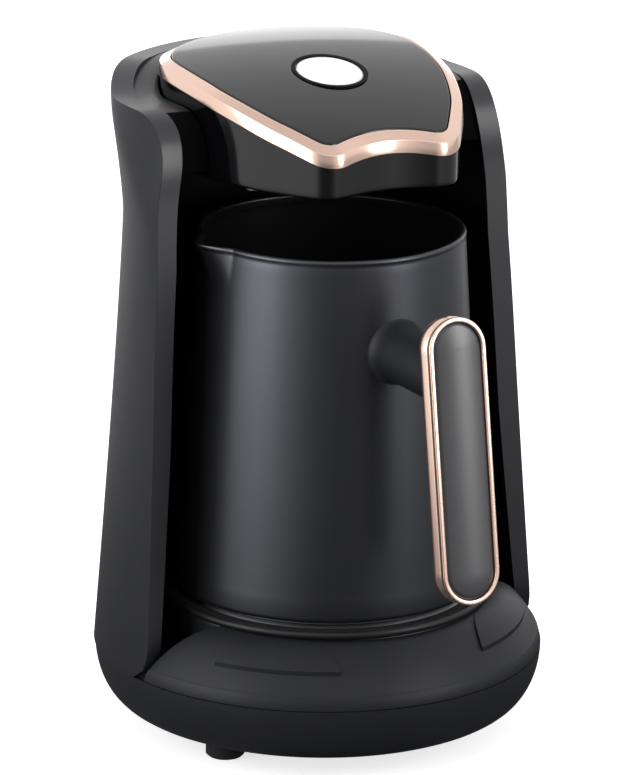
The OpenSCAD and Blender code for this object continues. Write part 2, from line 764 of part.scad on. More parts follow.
// Filler between the head and the shell's wings
module shroud_space(wall) intersection() {
    liner_round(-gap - wall);
    side_slab(shroud_set_back + wall);
    difference() {
        translate([0, 0, shroud_z]) cylinder(r = base_r, h = rim_z);
        head_prism(-gap - wall, head_z - over, rim_z + over);
    }
}
module top_shroud() color("#2c2c31") on_base() difference() {
    shroud_space(0);
    translate([0, 0, -over]) shroud_space(shroud_wall);
}

module head_body() color("#17171a") on_base() {
    intersection() {
        difference() {
            head_prism(0, head_z, lid_z);
            head_prism(head_wall, head_z - over, lid_z + over);
        }
        under_lid(trim_h + gap / 2);
    }
    for (p = head_posts) difference() {
        translate([p[0], p[1], head_z + underside_t + gap]) cylinder(r = head_post_r, h = head_post_h);
        translate([p[0], p[1], head_z]) cylinder(r = screw_r, h = head_post_h);
    }
    // webs that carry the posts from the side walls
    for (p = head_posts) mirror([p[0] < 0 ? 1 : 0, 0, 0])
        translate([abs(p[0]) + head_post_r - web_sink, p[1] - web_t / 2, head_z + underside_t + gap])
            cube([web_len(p), web_t, head_post_h]);
}
web_t = 2;
web_sink = 0.5;
// Distance from a post's side to the middle of the side wall next to it
function web_len(p) = (p[1] < 0 ? sqrt(head_r * head_r - p[1] * p[1]) : head_r)
    - abs(p[0]) - head_post_r + web_sink - head_wall / 2;

module head_underside() color("#1a1a1c") on_base() difference() {
    head_prism(head_wall + gap, head_z + gap, head_z + underside_t);
    translate([0, sensor_y, head_z - over]) cylinder(r = sensor_r + gap / 2, h = underside_t + 2 * over);
    for (p = head_posts) translate([p[0], p[1], head_z - over])
        cylinder(r = screw_hole_r, h = underside_t + 2 * over);
}
module head_screws() color("#b9bcc0") on_base() for (p = head_posts)
    translate([p[0], p[1], head_z + gap])
        screw(screw_r - gap / 4, head_screw_len, screw_head_r, screw_head_h);
head_screw_len = 8;

module sensor_window() color([0.25, 0.05, 0.08]) on_base()
    translate([0, sensor_y, head_z + gap]) cylinder(r = sensor_r, h = underside_t - gap);
module foam_sensor() color("#3a3d44") on_base()
    translate([-sensor_size[0] / 2, sensor_y - sensor_size[1] / 2, head_z + underside_t])
        cube(sensor_size);

module lid_panel() color("#0f0f11") {
    on_base() intersection() {
        difference() {
            head_prism(trim_w + gap, head_z, lid_z + over);
            under_lid(lid_t);
        }
        under_lid(0);
        difference() {
            cylinder(r = base_r, h = lid_z + over);
            translate([0, button_y, button_z]) rotate([lid_tilt, 0, 0])
                translate([0, 0, -well_depth]) cylinder(r = well_r + gap / 2, h = 2 * well_depth);
        }
    }
    on_lid() for (p = control_posts) difference() {
        translate([p[0], p[1], -switch_seat])
            cylinder(r = control_post_r, h = switch_seat - lid_t + 2 * gap);
        translate([p[0], p[1], -switch_seat - over])
            cylinder(r = small_screw_r, h = control_screw_len + over);
    }
}

module trim_band() color("#d99a80") on_base() {
    intersection() {
        difference() {
            head_prism(-trim_proud, head_z, lid_z + over);
            head_prism(trim_w, head_z - over, lid_z + 2 * over);
            under_lid(trim_h);
        }
        under_lid(-0.2);
    }
    // ledge that carries the lid panel
    intersection() {
        difference() {
            head_prism(head_wall + gap, head_z, lid_z);
            head_prism(trim_w + 3, head_z - over, lid_z + over);
            under_lid(trim_h + 1);
        }
        under_lid(lid_t + gap / 2);
    }
}

// ---------- button and controls ----------

well_r = button_r + running + well_wall;
well_floor_t = 1.4;
well_flange_w = 2.2;
well_flange_drop = 2.2;
module button_well() color("#101012") on_lid() difference() {
    union() {
        translate([0, 0, -well_depth - well_floor_t])
            cylinder(r = well_r, h = well_depth + well_floor_t + gap);
        translate([0, 0, -lid_t - well_flange_drop]) cylinder(r = well_r + well_flange_w, h = well_wall);
    }
    translate([0, 0, -well_depth]) cylinder(r = button_r + running, h = well_depth + over);
    translate([0, 0, -well_depth - well_floor_t - over])
        cylinder(r = stem_r + running, h = well_floor_t + 2 * over);
}

module power_button() color("#f4f4f2") on_lid() {
    difference() {
        intersection() {
            translate([0, 0, -button_skirt]) cylinder(r = button_r, h = button_skirt + over);
            translate([0, 0, button_proud - button_dome_r]) sphere(button_dome_r, $fn = 180);
        }
        translate([0, 0, -button_skirt - over])
            cylinder(r = button_r - button_wall, h = button_skirt + over + button_proud - button_cap_t);
    }
    translate([0, 0, -stem_end]) cylinder(r = stem_r, h = stem_end + button_proud - button_cap_t);
}

// Coil spring between the well's floor and the button's underside
spring_low = -well_depth + spring_wire_r + 0.05;
spring_high = button_proud - button_cap_t - spring_wire_r - 0.05;
function coil_point(t, a) = let (turn = 360 * spring_turns * t,
        rad = spring_r + spring_wire_r * cos(a))
    [rad * cos(turn), rad * sin(turn),
     spring_low + (spring_high - spring_low) * t + spring_wire_r * sin(a)];
module button_spring() color("#c4c6c9") on_lid() {
    rings = spring_turns * spring_steps;
    points = [for (i = [0 : rings], j = [0 : spring_sides - 1])
        coil_point(i / rings, 360 * j / spring_sides)];
    sides = [for (i = [0 : rings - 1], j = [0 : spring_sides - 1])
        let (k = (j + 1) % spring_sides)
        [i * spring_sides + j, i * spring_sides + k,
         (i + 1) * spring_sides + k, (i + 1) * spring_sides + j]];
    ends = [[for (j = [spring_sides - 1 : -1 : 0]) j],
            [for (j = [0 : spring_sides - 1]) rings * spring_sides + j]];
    polyhedron(points, concat(sides, ends), convexity = 8);
}

module switch_body() color("#1d1d1f") on_lid() difference() {
    translate([-switch_size[0] / 2, -switch_size[1] / 2, -switch_seat]) cube(switch_size);
    translate([0, 0, -plunger_top - plunger_len - button_travel - running])
        cylinder(r = plunger_hole_r, h = switch_size[2] + plunger_len, $fn = 48);
}
module switch_plunger() color("#e8e6df") on_lid()
    translate([0, 0, -plunger_top - plunger_len]) cylinder(r = plunger_r, h = plunger_len, $fn = 48);

module control_board() color("#23603a") on_lid() difference() {
    union() {
        translate([-control_board_size[0] / 2, -control_board_size[1] / 2,
            -switch_seat - control_board_size[2]]) cube(control_board_size);
        translate([chip_place[0], chip_place[1], -switch_seat]) cube(chip_size);
    }
    for (p = control_posts) translate([p[0], p[1], -switch_seat - control_board_size[2] - over])
        cylinder(r = small_screw_r + gap, h = 4 * over + control_board_size[2]);
}
module control_screws() color("#b9bcc0") on_lid() for (p = control_posts)
    translate([p[0], p[1], -switch_seat - control_board_size[2]])
        screw(small_screw_r - gap / 4, control_screw_len, small_head_r, small_head_h);
control_screw_len = 7;
module buzzer() color("#141416") on_lid() translate([buzzer_x, 0, -switch_seat]) difference() {
    cylinder(r = buzzer_r, h = buzzer_h);
    translate([0, 0, buzzer_h / 2]) cylinder(r = buzzer_r / 6, h = buzzer_h, $fn = 24);
}

// ---------- jug ----------

function jug_r(z) = jug_rim_r + (jug_foot_r - jug_rim_r) * (jug_rim_z - z)
    / (jug_rim_z - jug_bottom_z - disc_t);
jug_floor_z = jug_bottom_z + disc_t;
module jug_outside(d) rotate_extrude($fn = 180) polygon(concat([[0, jug_floor_z + d]],
    [for (i = [0 : 6]) let (a = 15 * i) [jug_foot_r - jug_corner_r + (jug_corner_r - d) * sin(a),
        jug_floor_z + jug_corner_r - (jug_corner_r - d) * cos(a)]],
    [[jug_rim_r - d, jug_rim_z], [0, jug_rim_z]]));
// Spout: a V-shaped lip that leans out from the rim towards -X
module spout_wedge(d) hull() {
    translate([-jug_rim_r - spout_reach + spout_tip_r + d, 0, jug_rim_z - spout_lip_h])
        cylinder(r = spout_tip_r - d / 2, h = spout_lip_h + spout_tip_rise + d, $fn = 24);
    for (s = [-1, 1]) translate([-jug_rim_r + spout_root, s * (spout_half_w - d), jug_rim_z - spout_lip_h])
        cylinder(r = spout_root_r, h = spout_lip_h + d, $fn = 16);
    translate([-jug_rim_r + spout_keel_r + d, 0, jug_rim_z - spout_h + d])
        cylinder(r = spout_keel_r, h = spout_keel_r, $fn = 16);
}
module jug_body() color("#35353a") on_jug() {
    difference() {
        union() {
            jug_outside(0);
            rotate_extrude($fn = 180) translate([jug_rim_r - rim_bead_r + rim_bead_out, jug_rim_z])
                circle(rim_bead_r, $fn = 24);
            spout_wedge(0);
        }
        jug_outside(jug_wall);
        translate([0, 0, jug_rim_z - over]) cylinder(r = jug_rim_r - jug_wall, h = 4 * over);
        spout_wedge(1.2);
    }
}
module jug_base_disc() color("#6d6f74") on_jug()
    translate([0, 0, jug_bottom_z]) cylinder(r = jug_foot_r - jug_corner_r, h = disc_t);

// The neck's axis runs from the jug's wall to the back of the grip
neck_start = jug_r(neck_z);
neck_end = grip_reach + (neck_z - grip_z) * -tan(grip_tilt) - grip_d / cos(grip_tilt);
module along_neck() on_jug() translate([0, 0, neck_z]) rotate([90, 0, 0]) children();

module handle_stud() color("#a9abae") along_neck() difference() {
    translate([0, 0, neck_start + stud_seat]) cylinder(r = stud_r, h = stud_len);
    translate([0, 0, neck_start + stud_floor]) cylinder(r = handle_screw_r, h = stud_len);
}
module handle_neck() color("#2b2b30") difference() {
    along_neck() difference() {
        rotate_extrude() polygon(concat([[0, neck_start - 4]],
            [for (i = [0 : 8]) let (a = 90 * i / 8)
                [neck_flare_r - (neck_flare_r - neck_r) * sin(a),
                 neck_start - 4 + (neck_flare_d + 4) * (1 - cos(a))]],
            [[neck_r, neck_end + neck_join], [0, neck_end + neck_join]]));
        translate([0, 0, neck_start - stud_root])
            cylinder(r = stud_r + gap / 2, h = stud_len + stud_root + stud_seat + gap);
        cylinder(r = handle_screw_r + gap, h = grip_reach);
    }
    on_jug() jug_cone(gap);
    on_grip() translate([-grip_w, -grip_l, -grip_d - gap / 2]) cube([2 * grip_w, 2 * grip_l, grip_d * 2]);
}
module jug_cone(d) rotate_extrude($fn = 180) polygon([[0, jug_floor_z],
    [jug_r(jug_floor_z) + d, jug_floor_z], [jug_rim_r + d, jug_rim_z], [0, jug_rim_z]]);

screw_seat = neck_end + 3.4;
module handle_screw() color("#b9bcc0") along_neck() {
    translate([0, 0, neck_start + 4])
        cylinder(r = handle_screw_r - gap / 4, h = screw_seat - neck_start - 4);
    translate([0, 0, screw_seat]) cylinder(r = handle_head_r, h = handle_head_h);
}
module grip_body() color("#1d1d20") difference() {
    on_grip() difference() {
        translate([0, 0, -grip_d]) linear_extrude(grip_d - 0.3) stadium(frame_w + gap / 2);
        translate([0, 0, -grip_pocket]) linear_extrude(grip_pocket + over)
            stadium(frame_w + line_w + bezel_w - gap / 2);
    }
    along_neck() {
        cylinder(r = handle_screw_r + gap, h = 2 * grip_reach);
        translate([0, 0, screw_seat]) cylinder(r = handle_head_r + gap, h = grip_d);
    }
}
module grip_frame() color("#d99a80") on_grip() difference() {
    translate([0, 0, -frame_depth]) linear_extrude(frame_depth + frame_lip) stadium(0);
    translate([0, 0, -frame_depth - over]) linear_extrude(2 * frame_depth + over) stadium(frame_w);
}
module grip_bezel() color("#e0a68e") on_grip() difference() {
    translate([0, 0, -0.3]) linear_extrude(0.3 + bezel_lip) stadium(frame_w + line_w);
    translate([0, 0, -grip_pocket - over]) linear_extrude(2 * grip_pocket + over)
        stadium(frame_w + line_w + bezel_w);
}
module grip_panel() color("#4a4a50") on_grip()
    translate([0, 0, -grip_pocket]) linear_extrude(panel_t) stadium(frame_w + line_w + bezel_w);

// ---------- nodes ----------

base_tray();
base_cover();
foot_front_left();
foot_front_right();
foot_rear_left();
foot_rear_right();
base_screws();
seat_ring();
hot_plate();
plate_gasket();
heating_element();
plate_bracket();
bracket_screws();
thermostat();
thermal_fuse();
power_board();
relay();
capacitor();
terminal_block();
board_screws();
cord_gland();
outer_shell();
inner_liner();
head_cable();
top_shroud();
head_body();
head_underside();
head_screws();
lid_panel();
trim_band();
button_well();
power_button();
button_spring();
switch_body();
switch_plunger();
control_board();
control_screws();
buzzer();
foam_sensor();
sensor_window();
jug_body();
jug_base_disc();
handle_stud();
handle_neck();
handle_screw();
grip_body();
grip_frame();
grip_bezel();
grip_panel();
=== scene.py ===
"""Electric turkish coffee maker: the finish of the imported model, in metres on the CAD's frame."""
from math import acos, asin, atan2, cos, exp, hypot, pi, radians, sin, sqrt

import bmesh
import bpy
from mathutils import Matrix, Vector


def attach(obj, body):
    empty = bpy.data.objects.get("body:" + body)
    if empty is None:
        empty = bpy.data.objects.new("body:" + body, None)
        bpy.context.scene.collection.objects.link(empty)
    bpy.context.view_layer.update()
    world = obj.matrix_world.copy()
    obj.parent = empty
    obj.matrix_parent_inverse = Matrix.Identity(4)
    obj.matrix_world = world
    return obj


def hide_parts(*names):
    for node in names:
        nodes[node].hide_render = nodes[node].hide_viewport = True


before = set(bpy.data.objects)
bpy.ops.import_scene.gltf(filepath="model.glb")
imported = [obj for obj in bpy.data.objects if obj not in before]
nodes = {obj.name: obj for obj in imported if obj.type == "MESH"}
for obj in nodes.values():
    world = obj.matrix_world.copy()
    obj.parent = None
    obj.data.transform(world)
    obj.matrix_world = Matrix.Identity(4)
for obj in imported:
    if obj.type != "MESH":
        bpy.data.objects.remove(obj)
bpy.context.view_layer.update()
MM = 0.001

# ------------ sizes, in millimetres
BASE_Y = 13.636                     # middle of the round base, behind the origin
BASE_R, SEAM_Z = 75.7, 28.0

# shell: a revolved wall whose tips curl in about a second axis, CURL_BACK behind the first
SHELL_BASE_R, WAIST_R, WAIST_Z = 76.2, 66.8, 178.0
CONE_POWER, RIM_FLARE, FLARE_POWER = 1.2, 5.7, 1.3
CURL_R, CURL_BACK, CURL_Z, CURL_POWER = 62.8, 18.0, 165.0, 1.7
CURL_LOW_R, CURL_LOW_SLOPE = 71.5, 0.12
CURL_BLEND = 1.6                    # width over which the two turned faces run into each other
RIM_Z, RIM_FRONT_Z, RAMP_START_Y, RAMP_END_Y = 222.0, 215.5, 28.0, 57.0
EDGE_TOP_Y, EDGE_LOW_Y, CORNER_H, CORNER_D, CORNER_POWER = -6.5, -17.0, 24.5, 20.5, 2.5
FOOT_CORNER_D, FOOT_CORNER_H = 7.0, 11.0
FLANGE, FLANGE_LOW = 7.4, 5.4       # thickness of the wall from half way up, and at its foot
# rounding of the wall's outer edges, and the share of it that the inner front and inner rim have
EDGE_ROUND, INNER_SHARE, RIM_SHARE = 1.6, 0.7, 0.15
LINER_SET_BACK, LINER_PROUD, LINER_T, LINER_TOP_Z = 3.2, 0.15, 1.2, 199.0

# head, its lid and the trim
HEAD_Z, HEAD_R, HEAD_HALF_W, HEAD_BACK_R = 193.5, 45.7, 47.3, 57.4
LOBE_X, LOBE_R, LOBE_FRONT, NOTCH_FRONT = 19.5, 8.5, 42.6, 39.6
LID_Z, LID_SPINE_R, LID_CROWN_R, LID_PEAK_Y = 228.9, 165.0, 460.0, 33.0
HEAD_UNDER_W, HEAD_LIP_W, HEAD_LIP_H, HEAD_FOOT_ROUND = 20.0, 2.2, 1.2, 1.1
TRIM_W, TRIM_LOBE_W, TRIM_LOBE_SPREAD = 3.7, 3.6, 9.0
TRIM_BACK_DROP, TRIM_DROP_Y, TRIM_DROP_RUN = 0.9, 22.0, 20.0
# section of the trim: share of its width from the outside in, height over the lid, rounding
TRIM_SECTION = [(0.6, -4.8, 0), (0.1, -5.2, 0.3), (-0.2, -4.9, 0.4), (-0.04, -0.9, 0.5),
                (0.88, 0.2, 0.5), (0.97, -0.5, 0.4), (0.97, -2.6, 0), (0.6, -4.8, 0)]
FILLER_Z, FILLER_FRONT_BACK, FILLER_TOP_BACK = 195.0, 1.7, 0.12
FILLER_T, FILLER_IN_WALL, FILLER_IN_HEAD = 3.0, 0.6, 0.25

# button
BUTTON_R, BUTTON_Y, BUTTON_PROUD = 11.25, -2.0, 0.5
WELL_R = BUTTON_R + 0.2
CAP_ROUND, CAP_DOME_R, CAP_SKIRT, CAP_WALL, CAP_T = 0.9, 120.0, 7.0, 1.6, 1.0
LID_TILT = asin((LID_PEAK_Y - BUTTON_Y) / LID_SPINE_R)
BUTTON_Z = LID_Z - LID_SPINE_R + LID_SPINE_R * cos(LID_TILT)

# jug and its handle
JUG_BACK, JUG_RIM_R, JUG_FOOT_R, JUG_RIM_Z, JUG_LOW_Z = 5.0, 44.5, 52.6, 172.0, 51.5
JUG_WALL, JUG_FOOT_ROUND, JUG_WALL_LOW_Z = 1.4, 2.2, 60.0
BEAD_R, BEAD_IN, BEAD_UP, BEAD_FROM = 1.05, 0.85, 0.05, -40     # rolled rim; from, in degrees
SPOUT_REACH, SPOUT_H, SPOUT_HALF = 6.24, 13.0, radians(15)
SPOUT_TIP_ROUND = 0.0012            # radians squared
SPOUT_POWER, SPOUT_MOST = 1.5, 1.15     # how it leans out with height, and how far up
NECK_Z, NECK_R, NECK_FLARE_R, NECK_FLARE_D, NECK_IN_GRIP = 142.0, 9.4, 11.4, 4.5, 3.0
GRIP_W, GRIP_L, GRIP_D, GRIP_TILT, GRIP_REACH, GRIP_Z = 21.0, 93.5, 9.5, radians(9.7), 90.2, 117.1
RIM_W, RIM_T, RIM_INSET, GROOVE_INSET = 1.7, 0.9, 0.15, 1.0
SIDE_TOP, SIDE_MID, SIDE_LOW, SIDE_SLOPE, SIDE_IN = 2.6, 4.9, 6.8, 0.85, 1.6
PANEL_INSET, PANEL_CROWN, PANEL_SUNK, PANEL_FOOT = 1.8, 1.0, 0.35, 0.7
# sections round the grip: depth inside its outline, height over its face, rounding
SIDE_SECTION = [(SIDE_IN, -SIDE_LOW, 0), (0.4, -SIDE_LOW, 0.4), (-0.05, -SIDE_MID, 2.5),
                (SIDE_SLOPE, -SIDE_TOP, 0.5), (SIDE_IN, -SIDE_TOP, 0), (SIDE_IN, -SIDE_LOW, 0)]
RIM_SECTION = [(RIM_W, -RIM_T, 0), (RIM_INSET, -RIM_T, 0.15), (RIM_INSET, 0.4, 0.5),
               (RIM_W, 0.35, 0.4), (RIM_W, -RIM_T, 0)]
BACK_SECTION = [(RIM_W - 0.1, -0.5, 0), (GROOVE_INSET, -0.5, 0.1), (GROOVE_INSET, -SIDE_LOW, 0.2),
                (1.6, -GRIP_D, 2.2), (GRIP_W / 2, -GRIP_D, 0)]

# cover of the base
DOME_START_R, DOME_EDGE_R, DOME_BAND_Z, COVER_TOP_Z, DOME_END_Y = 55.0, 74.6, 32.0, 47.8, -15.5
DOME_END_SLANT = 0.6                # how much the dome's ends run forwards towards the seat
PAD_ANGLE, PAD_RISE, PAD_SKIRT = radians(40), 1.5, 5.0
PAD_ARCH_R, PAD_EDGE_R, PAD_TOP_R = 30.0, 70.0, 58.0
TUB_R, TUB_WALL_R, TUB_Z, TUB_LEDGE_R, TUB_LEDGE_Z = 53.3, 54.7, 47.2, 50.5, 45.9
FLOOR_Z, FLOOR_HOLE_R = 30.6, 47.5


# ------------ camera
VIEW_TURN, VIEW_RISE, VIEW_ROLL = radians(-28.8), radians(16.9), radians(0.9)
VIEW_DISTANCE, VIEW_SHIFT, VIEW_HEIGHT = 1676.0, -0.6, 115.8
FOCAL_PX, LONG_SIDE_PX = 5000.0, 775.0


def add_object(name, data):
    """A new object in the scene."""
    made = bpy.data.objects.new(name, data)
    bpy.context.scene.collection.objects.link(made)
    return made


def make_camera():
    """A long lens, a little above the rim and to the left of straight ahead."""
    back = Vector((sin(VIEW_TURN) * cos(VIEW_RISE), -cos(VIEW_TURN) * cos(VIEW_RISE),
                   sin(VIEW_RISE)))
    right = Vector((cos(VIEW_TURN), sin(VIEW_TURN), 0))
    up = back.cross(right)
    turned_right = right * cos(VIEW_ROLL) + up * sin(VIEW_ROLL)
    turned_up = up * cos(VIEW_ROLL) - right * sin(VIEW_ROLL)
    place = Vector((0, BASE_Y, VIEW_HEIGHT)) + right * VIEW_SHIFT + back * VIEW_DISTANCE
    lens = bpy.data.cameras.new("camera")
    lens.sensor_width = 36.0
    lens.lens = FOCAL_PX / LONG_SIDE_PX * lens.sensor_width
    lens.clip_start, lens.clip_end = 0.05, 20.0
    camera = add_object("camera", lens)
    axes = Matrix((turned_right, turned_up, back)).transposed().to_4x4()
    camera.matrix_world = Matrix.Translation(place * MM) @ axes
    bpy.context.scene.camera = camera


make_camera()


# ------------ meshes
WELD, SPECK = 2e-6, 1e-7            # metres: points this near are one, edges this short are dropped


def point(x, y, z):
    """A point about the base's axis, as a place in the frame."""
    return Vector((x, y + BASE_Y, z)) * MM


def surface(columns, rows, place, bm=None):
    """A grid bent into shape: place(u, v) gives each of its points, with u and v from 0 to 1."""
    bm = bm or bmesh.new()
    grid = bmesh.ops.create_grid(bm, x_segments=columns, y_segments=rows, size=0.5)
    for vertex in grid["verts"]:
        vertex.co = place(vertex.co.x + 0.5, vertex.co.y + 0.5)
    return bm


def weld(bm):
    """Joins the points that fall together, such as the two ends of a turned face."""
    bmesh.ops.remove_doubles(bm, verts=bm.verts, dist=WELD)


def open_edges(bm):
    """The edges with a face on one side only."""
    return [edge for edge in bm.edges if edge.is_boundary]


def piece(name, bm, finish, body, *stands_for, soften=0.0, segments=3, angle=35):
    """Closes, smooths and dresses a mesh, and hangs it on its body. Edges over angle stay sharp."""
    weld(bm)
    bmesh.ops.dissolve_degenerate(bm, edges=bm.edges, dist=SPECK)
    bmesh.ops.recalc_face_normals(bm, faces=bm.faces)
    for face in bm.faces:
        face.smooth = True
    for edge in bm.edges:
        edge.smooth = len(edge.link_faces) == 2 and edge.calc_face_angle(0) < radians(angle)
    mesh = bpy.data.meshes.new(name)
    bm.to_mesh(mesh)
    bm.free()
    made = add_object(name, mesh)
    mesh.materials.append(finish)
    if soften:
        bevel = made.modifiers.new("soft edges", "BEVEL")
        bevel.width = soften * MM
        bevel.segments = segments
        bevel.limit_method = "ANGLE"
        bevel.angle_limit = radians(angle)
        bevel.harden_normals = False
    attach(made, body)
    if stands_for:
        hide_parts(*stands_for)
    return made


def evenly(path, count):
    """count points at equal steps along a closed path of (x, y) points, first at its start."""
    closed = path + [path[0]]
    lengths = [0.0]
    for a, b in zip(closed, closed[1:]):
        lengths.append(lengths[-1] + hypot(b[0] - a[0], b[1] - a[1]))
    points, k = [], 0
    for i in range(count):
        want = lengths[-1] * i / count
        while lengths[k + 1] < want:
            k += 1
        t = (want - lengths[k]) / max(lengths[k + 1] - lengths[k], 1e-9)
        points.append((closed[k][0] + t * (closed[k + 1][0] - closed[k][0]),
                       closed[k][1] + t * (closed[k + 1][1] - closed[k][1])))
    return points


def along(path, u):
    """The point at u of a path of points, and the path's direction there."""
    count = len(path)
    at = (u % 1.0) * count
    i, t = int(at) % count, at - int(at)
    a, b = path[i], path[(i + 1) % count]
    before, after = path[(i - 1) % count], path[(i + 2) % count]
    run = [(1 - t) * (b[k] - before[k]) + t * (after[k] - a[k]) for k in (0, 1)]
    size = hypot(*run) or 1.0
    return (a[0] + t * (b[0] - a[0]), a[1] + t * (b[1] - a[1])), (run[0] / size, run[1] / size)


def inset(path, u, depth):
    """The point at u of a path that runs anticlockwise, moved in by depth."""
    (x, y), (dx, dy) = along(path, u)
    return x - dy * depth, y + dx * depth


def section_point(section, v):
    """The point at v of an open polyline, by its points' number."""
    at = min(max(v, 0.0), 1.0) * (len(section) - 1)
    i = min(int(at), len(section) - 2)
    t = at - i
    return [a + t * (b - a) for a, b in zip(section[i], section[i + 1])]


def bend(start, peak, end, steps):
    """Points along a curve from start to end that turns towards peak."""
    points = []
    for k in range(steps + 1):
        t = k / steps
        mid = start * (1 - t) ** 2 + peak * 2 * t * (1 - t) + end * t * t
        points.append((mid.x, mid.y))
    return points


def rounded(corners, steps):
    """A polyline through corners (x, y, radius), each rounded as far as its sides allow."""
    points = []
    for i, (x, y, r) in enumerate(corners):
        if r <= 0 or i in (0, len(corners) - 1):
            points.append((x, y))
            continue
        peak = Vector((x, y))
        a, b = Vector(corners[i - 1][:2]) - peak, Vector(corners[i + 1][:2]) - peak
        half = a.angle(b) / 2
        reach = min(r / max(sin(half) / cos(half), 1e-6), a.length * 0.49, b.length * 0.49)
        points += bend(peak + a.normalized() * reach, peak, peak + b.normalized() * reach, steps)
    return points


def turned(section, centre_y=0.0):
    """A closed section of (radius, height) points spun about an upright axis."""
    def place(u, v):
        r, z = section_point(section, v)
        return point(r * sin(2 * pi * u), centre_y - r * cos(2 * pi * u), z)
    return surface(160, len(section) - 1, place)


# ------------ materials
NOISE_LOW, NOISE_HIGH = 0.3, 0.7    # where nearly all of a noise texture's values lie


def linear(hex_colour):
    """An sRGB hex colour as the linear numbers that Blender takes."""
    parts = [int(hex_colour[i:i + 2], 16) / 255 for i in (1, 3, 5)]
    return [c / 12.92 if c <= 0.04045 else ((c + 0.055) / 1.055) ** 2.4 for c in parts] + [1.0]


def node(tree, kind, settings=(), **inputs):
    """Adds a node, sets its properties and sockets, and links those that are given a socket."""
    made = tree.nodes.new("ShaderNode" + kind)
    for name, value in dict(settings).items():
        setattr(made, name, value)
    for name, value in inputs.items():
        socket = made.inputs[int(name[1:]) if name[0] == "_" else name.replace("_", " ")]
        if isinstance(value, bpy.types.NodeSocket):
            tree.links.new(value, socket)
        else:
            socket.default_value = value
    return made


def calc(tree, operation, *values):
    """The result of a math node on up to three sockets or numbers."""
    inputs = {"_" + str(i): value for i, value in enumerate(values)}
    return node(tree, "Math", {"operation": operation}, **inputs).outputs[0]


def empty_tree(owner):
    """The node tree of a new material or world, with nothing in it."""
    owner.use_nodes = True
    owner.node_tree.nodes.clear()
    return owner.node_tree


def material(name, colour, roughness, metallic=0.0, ior=None, specular=0.5, grain_mm=0.5,
             grain=0.02, grain_bump=0.0, patch_mm=40.0, patch=0.05, tone=0.06, coat=0.0,
             coat_roughness=0.05, stretch=(1, 1, 1)):
    """A surface with a fine grain in gloss and relief, and slow wide changes in tone and gloss."""
    made = bpy.data.materials.new(name)
    tree = empty_tree(made)
    place = node(tree, "TexCoord").outputs["Object"]
    drawn = node(tree, "Mapping", _0=place, Scale=stretch).outputs[0]
    fine = node(tree, "TexNoise", Vector=drawn, Scale=1 / (grain_mm * MM), Detail=2.0,
                Roughness=0.6).outputs[0]
    wide = node(tree, "TexNoise", Vector=place, Scale=1 / (patch_mm * MM), Detail=3.0,
                Roughness=0.5).outputs[0]
    gloss = node(tree, "MapRange", _0=wide, _1=NOISE_LOW, _2=NOISE_HIGH, _3=roughness * (1 - patch),
                 _4=roughness * (1 + patch)).outputs[0]
    gloss = calc(tree, "MULTIPLY_ADD", fine, grain, gloss)
    base = linear(colour)
    dark = [c * (1 - tone) for c in base[:3]] + [1.0]
    light = [min(c * (1 + tone), 1.0) for c in base[:3]] + [1.0]
    tint = node(tree, "Mix", {"data_type": "RGBA"}, _0=wide, _6=dark, _7=light).outputs[2]
    shader = node(tree, "BsdfPrincipled", Base_Color=tint, Roughness=gloss, Metallic=metallic,
                  Specular_IOR_Level=specular, Coat_Weight=coat, Coat_Roughness=coat_roughness)
    if ior:
        shader.inputs["IOR"].default_value = ior
    if grain_bump:
        relief = node(tree, "Bump", Strength=1.0, Distance=grain_bump * MM, Height=fine)
        tree.links.new(relief.outputs[0], shader.inputs["Normal"])
    node(tree, "OutputMaterial", _0=shader.outputs[0])
    return made


# ABS moulded in a spark-eroded tool: black with a broad, soft, slightly blue sheen
satin_abs = material("ABS_spark_eroded_satin", "#1a1b20", 0.44, ior=1.53, specular=0.25,
                     grain_mm=0.45, grain=0.08, grain_bump=0.008)
# the same ABS on the shell's rim and front strips and on the seat's wall, with more shine: a
# painted sheen, pale where the white of the room glances off it
satin_abs_painted_sheen = material("ABS_satin_painted_sheen", "#1c1d22", 0.34, ior=1.53, specular=0.6, grain_mm=0.45,
                     grain=0.06, grain_bump=0.006)
# ABS moulded in a plain tool, near black, its lights wide and faint: the colour of the parts
# inside, and painted shade on the bay's liner and the base's floor
dull_abs_and_painted_shade = material("ABS_dull_and_painted_shade", "#0b0b0d", 0.6, ior=1.50, specular=0.15, grain=0.12,
                    grain_bump=0.012)
# painted shade: black ABS, matt, with hardly a light, on the filler's faces down between wing and
# head
painted_shade_abs = material("ABS_painted_shade_black", "#060607", 0.75, ior=1.50, specular=0.04, grain=0.1)
# ABS moulded in a polished tool: piano black that mirrors the room
polished_abs = material("ABS_polished_piano_black", "#060608", 0.09, ior=1.55, grain_mm=1.2,
                        patch_mm=60, patch=0.1)
# vacuum metallised rose gold under clear lacquer: peach mirror with near-white lights
rose_gold = material("rose_gold_metallised_lacquer", "#f3cfbd", 0.16, metallic=0.95, grain_mm=0.8,
                     grain=0.008, patch_mm=30, patch=0.03, tone=0.02, coat=0.5)
# dark grey metallic enamel sprayed on deep drawn steel: long soft bands of light and dark
jug_enamel = material("sprayed_graphite_enamel", "#4e4f54", 0.30, metallic=0.92, grain_mm=0.35,
                      grain=0.08, grain_bump=0.003, patch_mm=50)
# PTFE coating sprayed inside the jug: black and dull
nonstick = material("sprayed_PTFE_black", "#0a0a0b", 0.5, ior=1.35, grain_mm=0.4, grain=0.15,
                    grain_bump=0.006)
# smoked acrylic strip in the grip, cast and polished: grey under one long soft light
smoked_acrylic = material("smoked_acrylic_polished", "#2c2c30", 0.28, ior=1.49, grain_mm=1.0,
                          coat=0.95, coat_roughness=0.3)
# white ABS moulded with a fine satin: even white, a soft light on its edge
white_abs = material("white_ABS_satin", "#f3f3f1", 0.38, ior=1.5, grain_mm=0.4, grain=0.06,
                     tone=0.01)
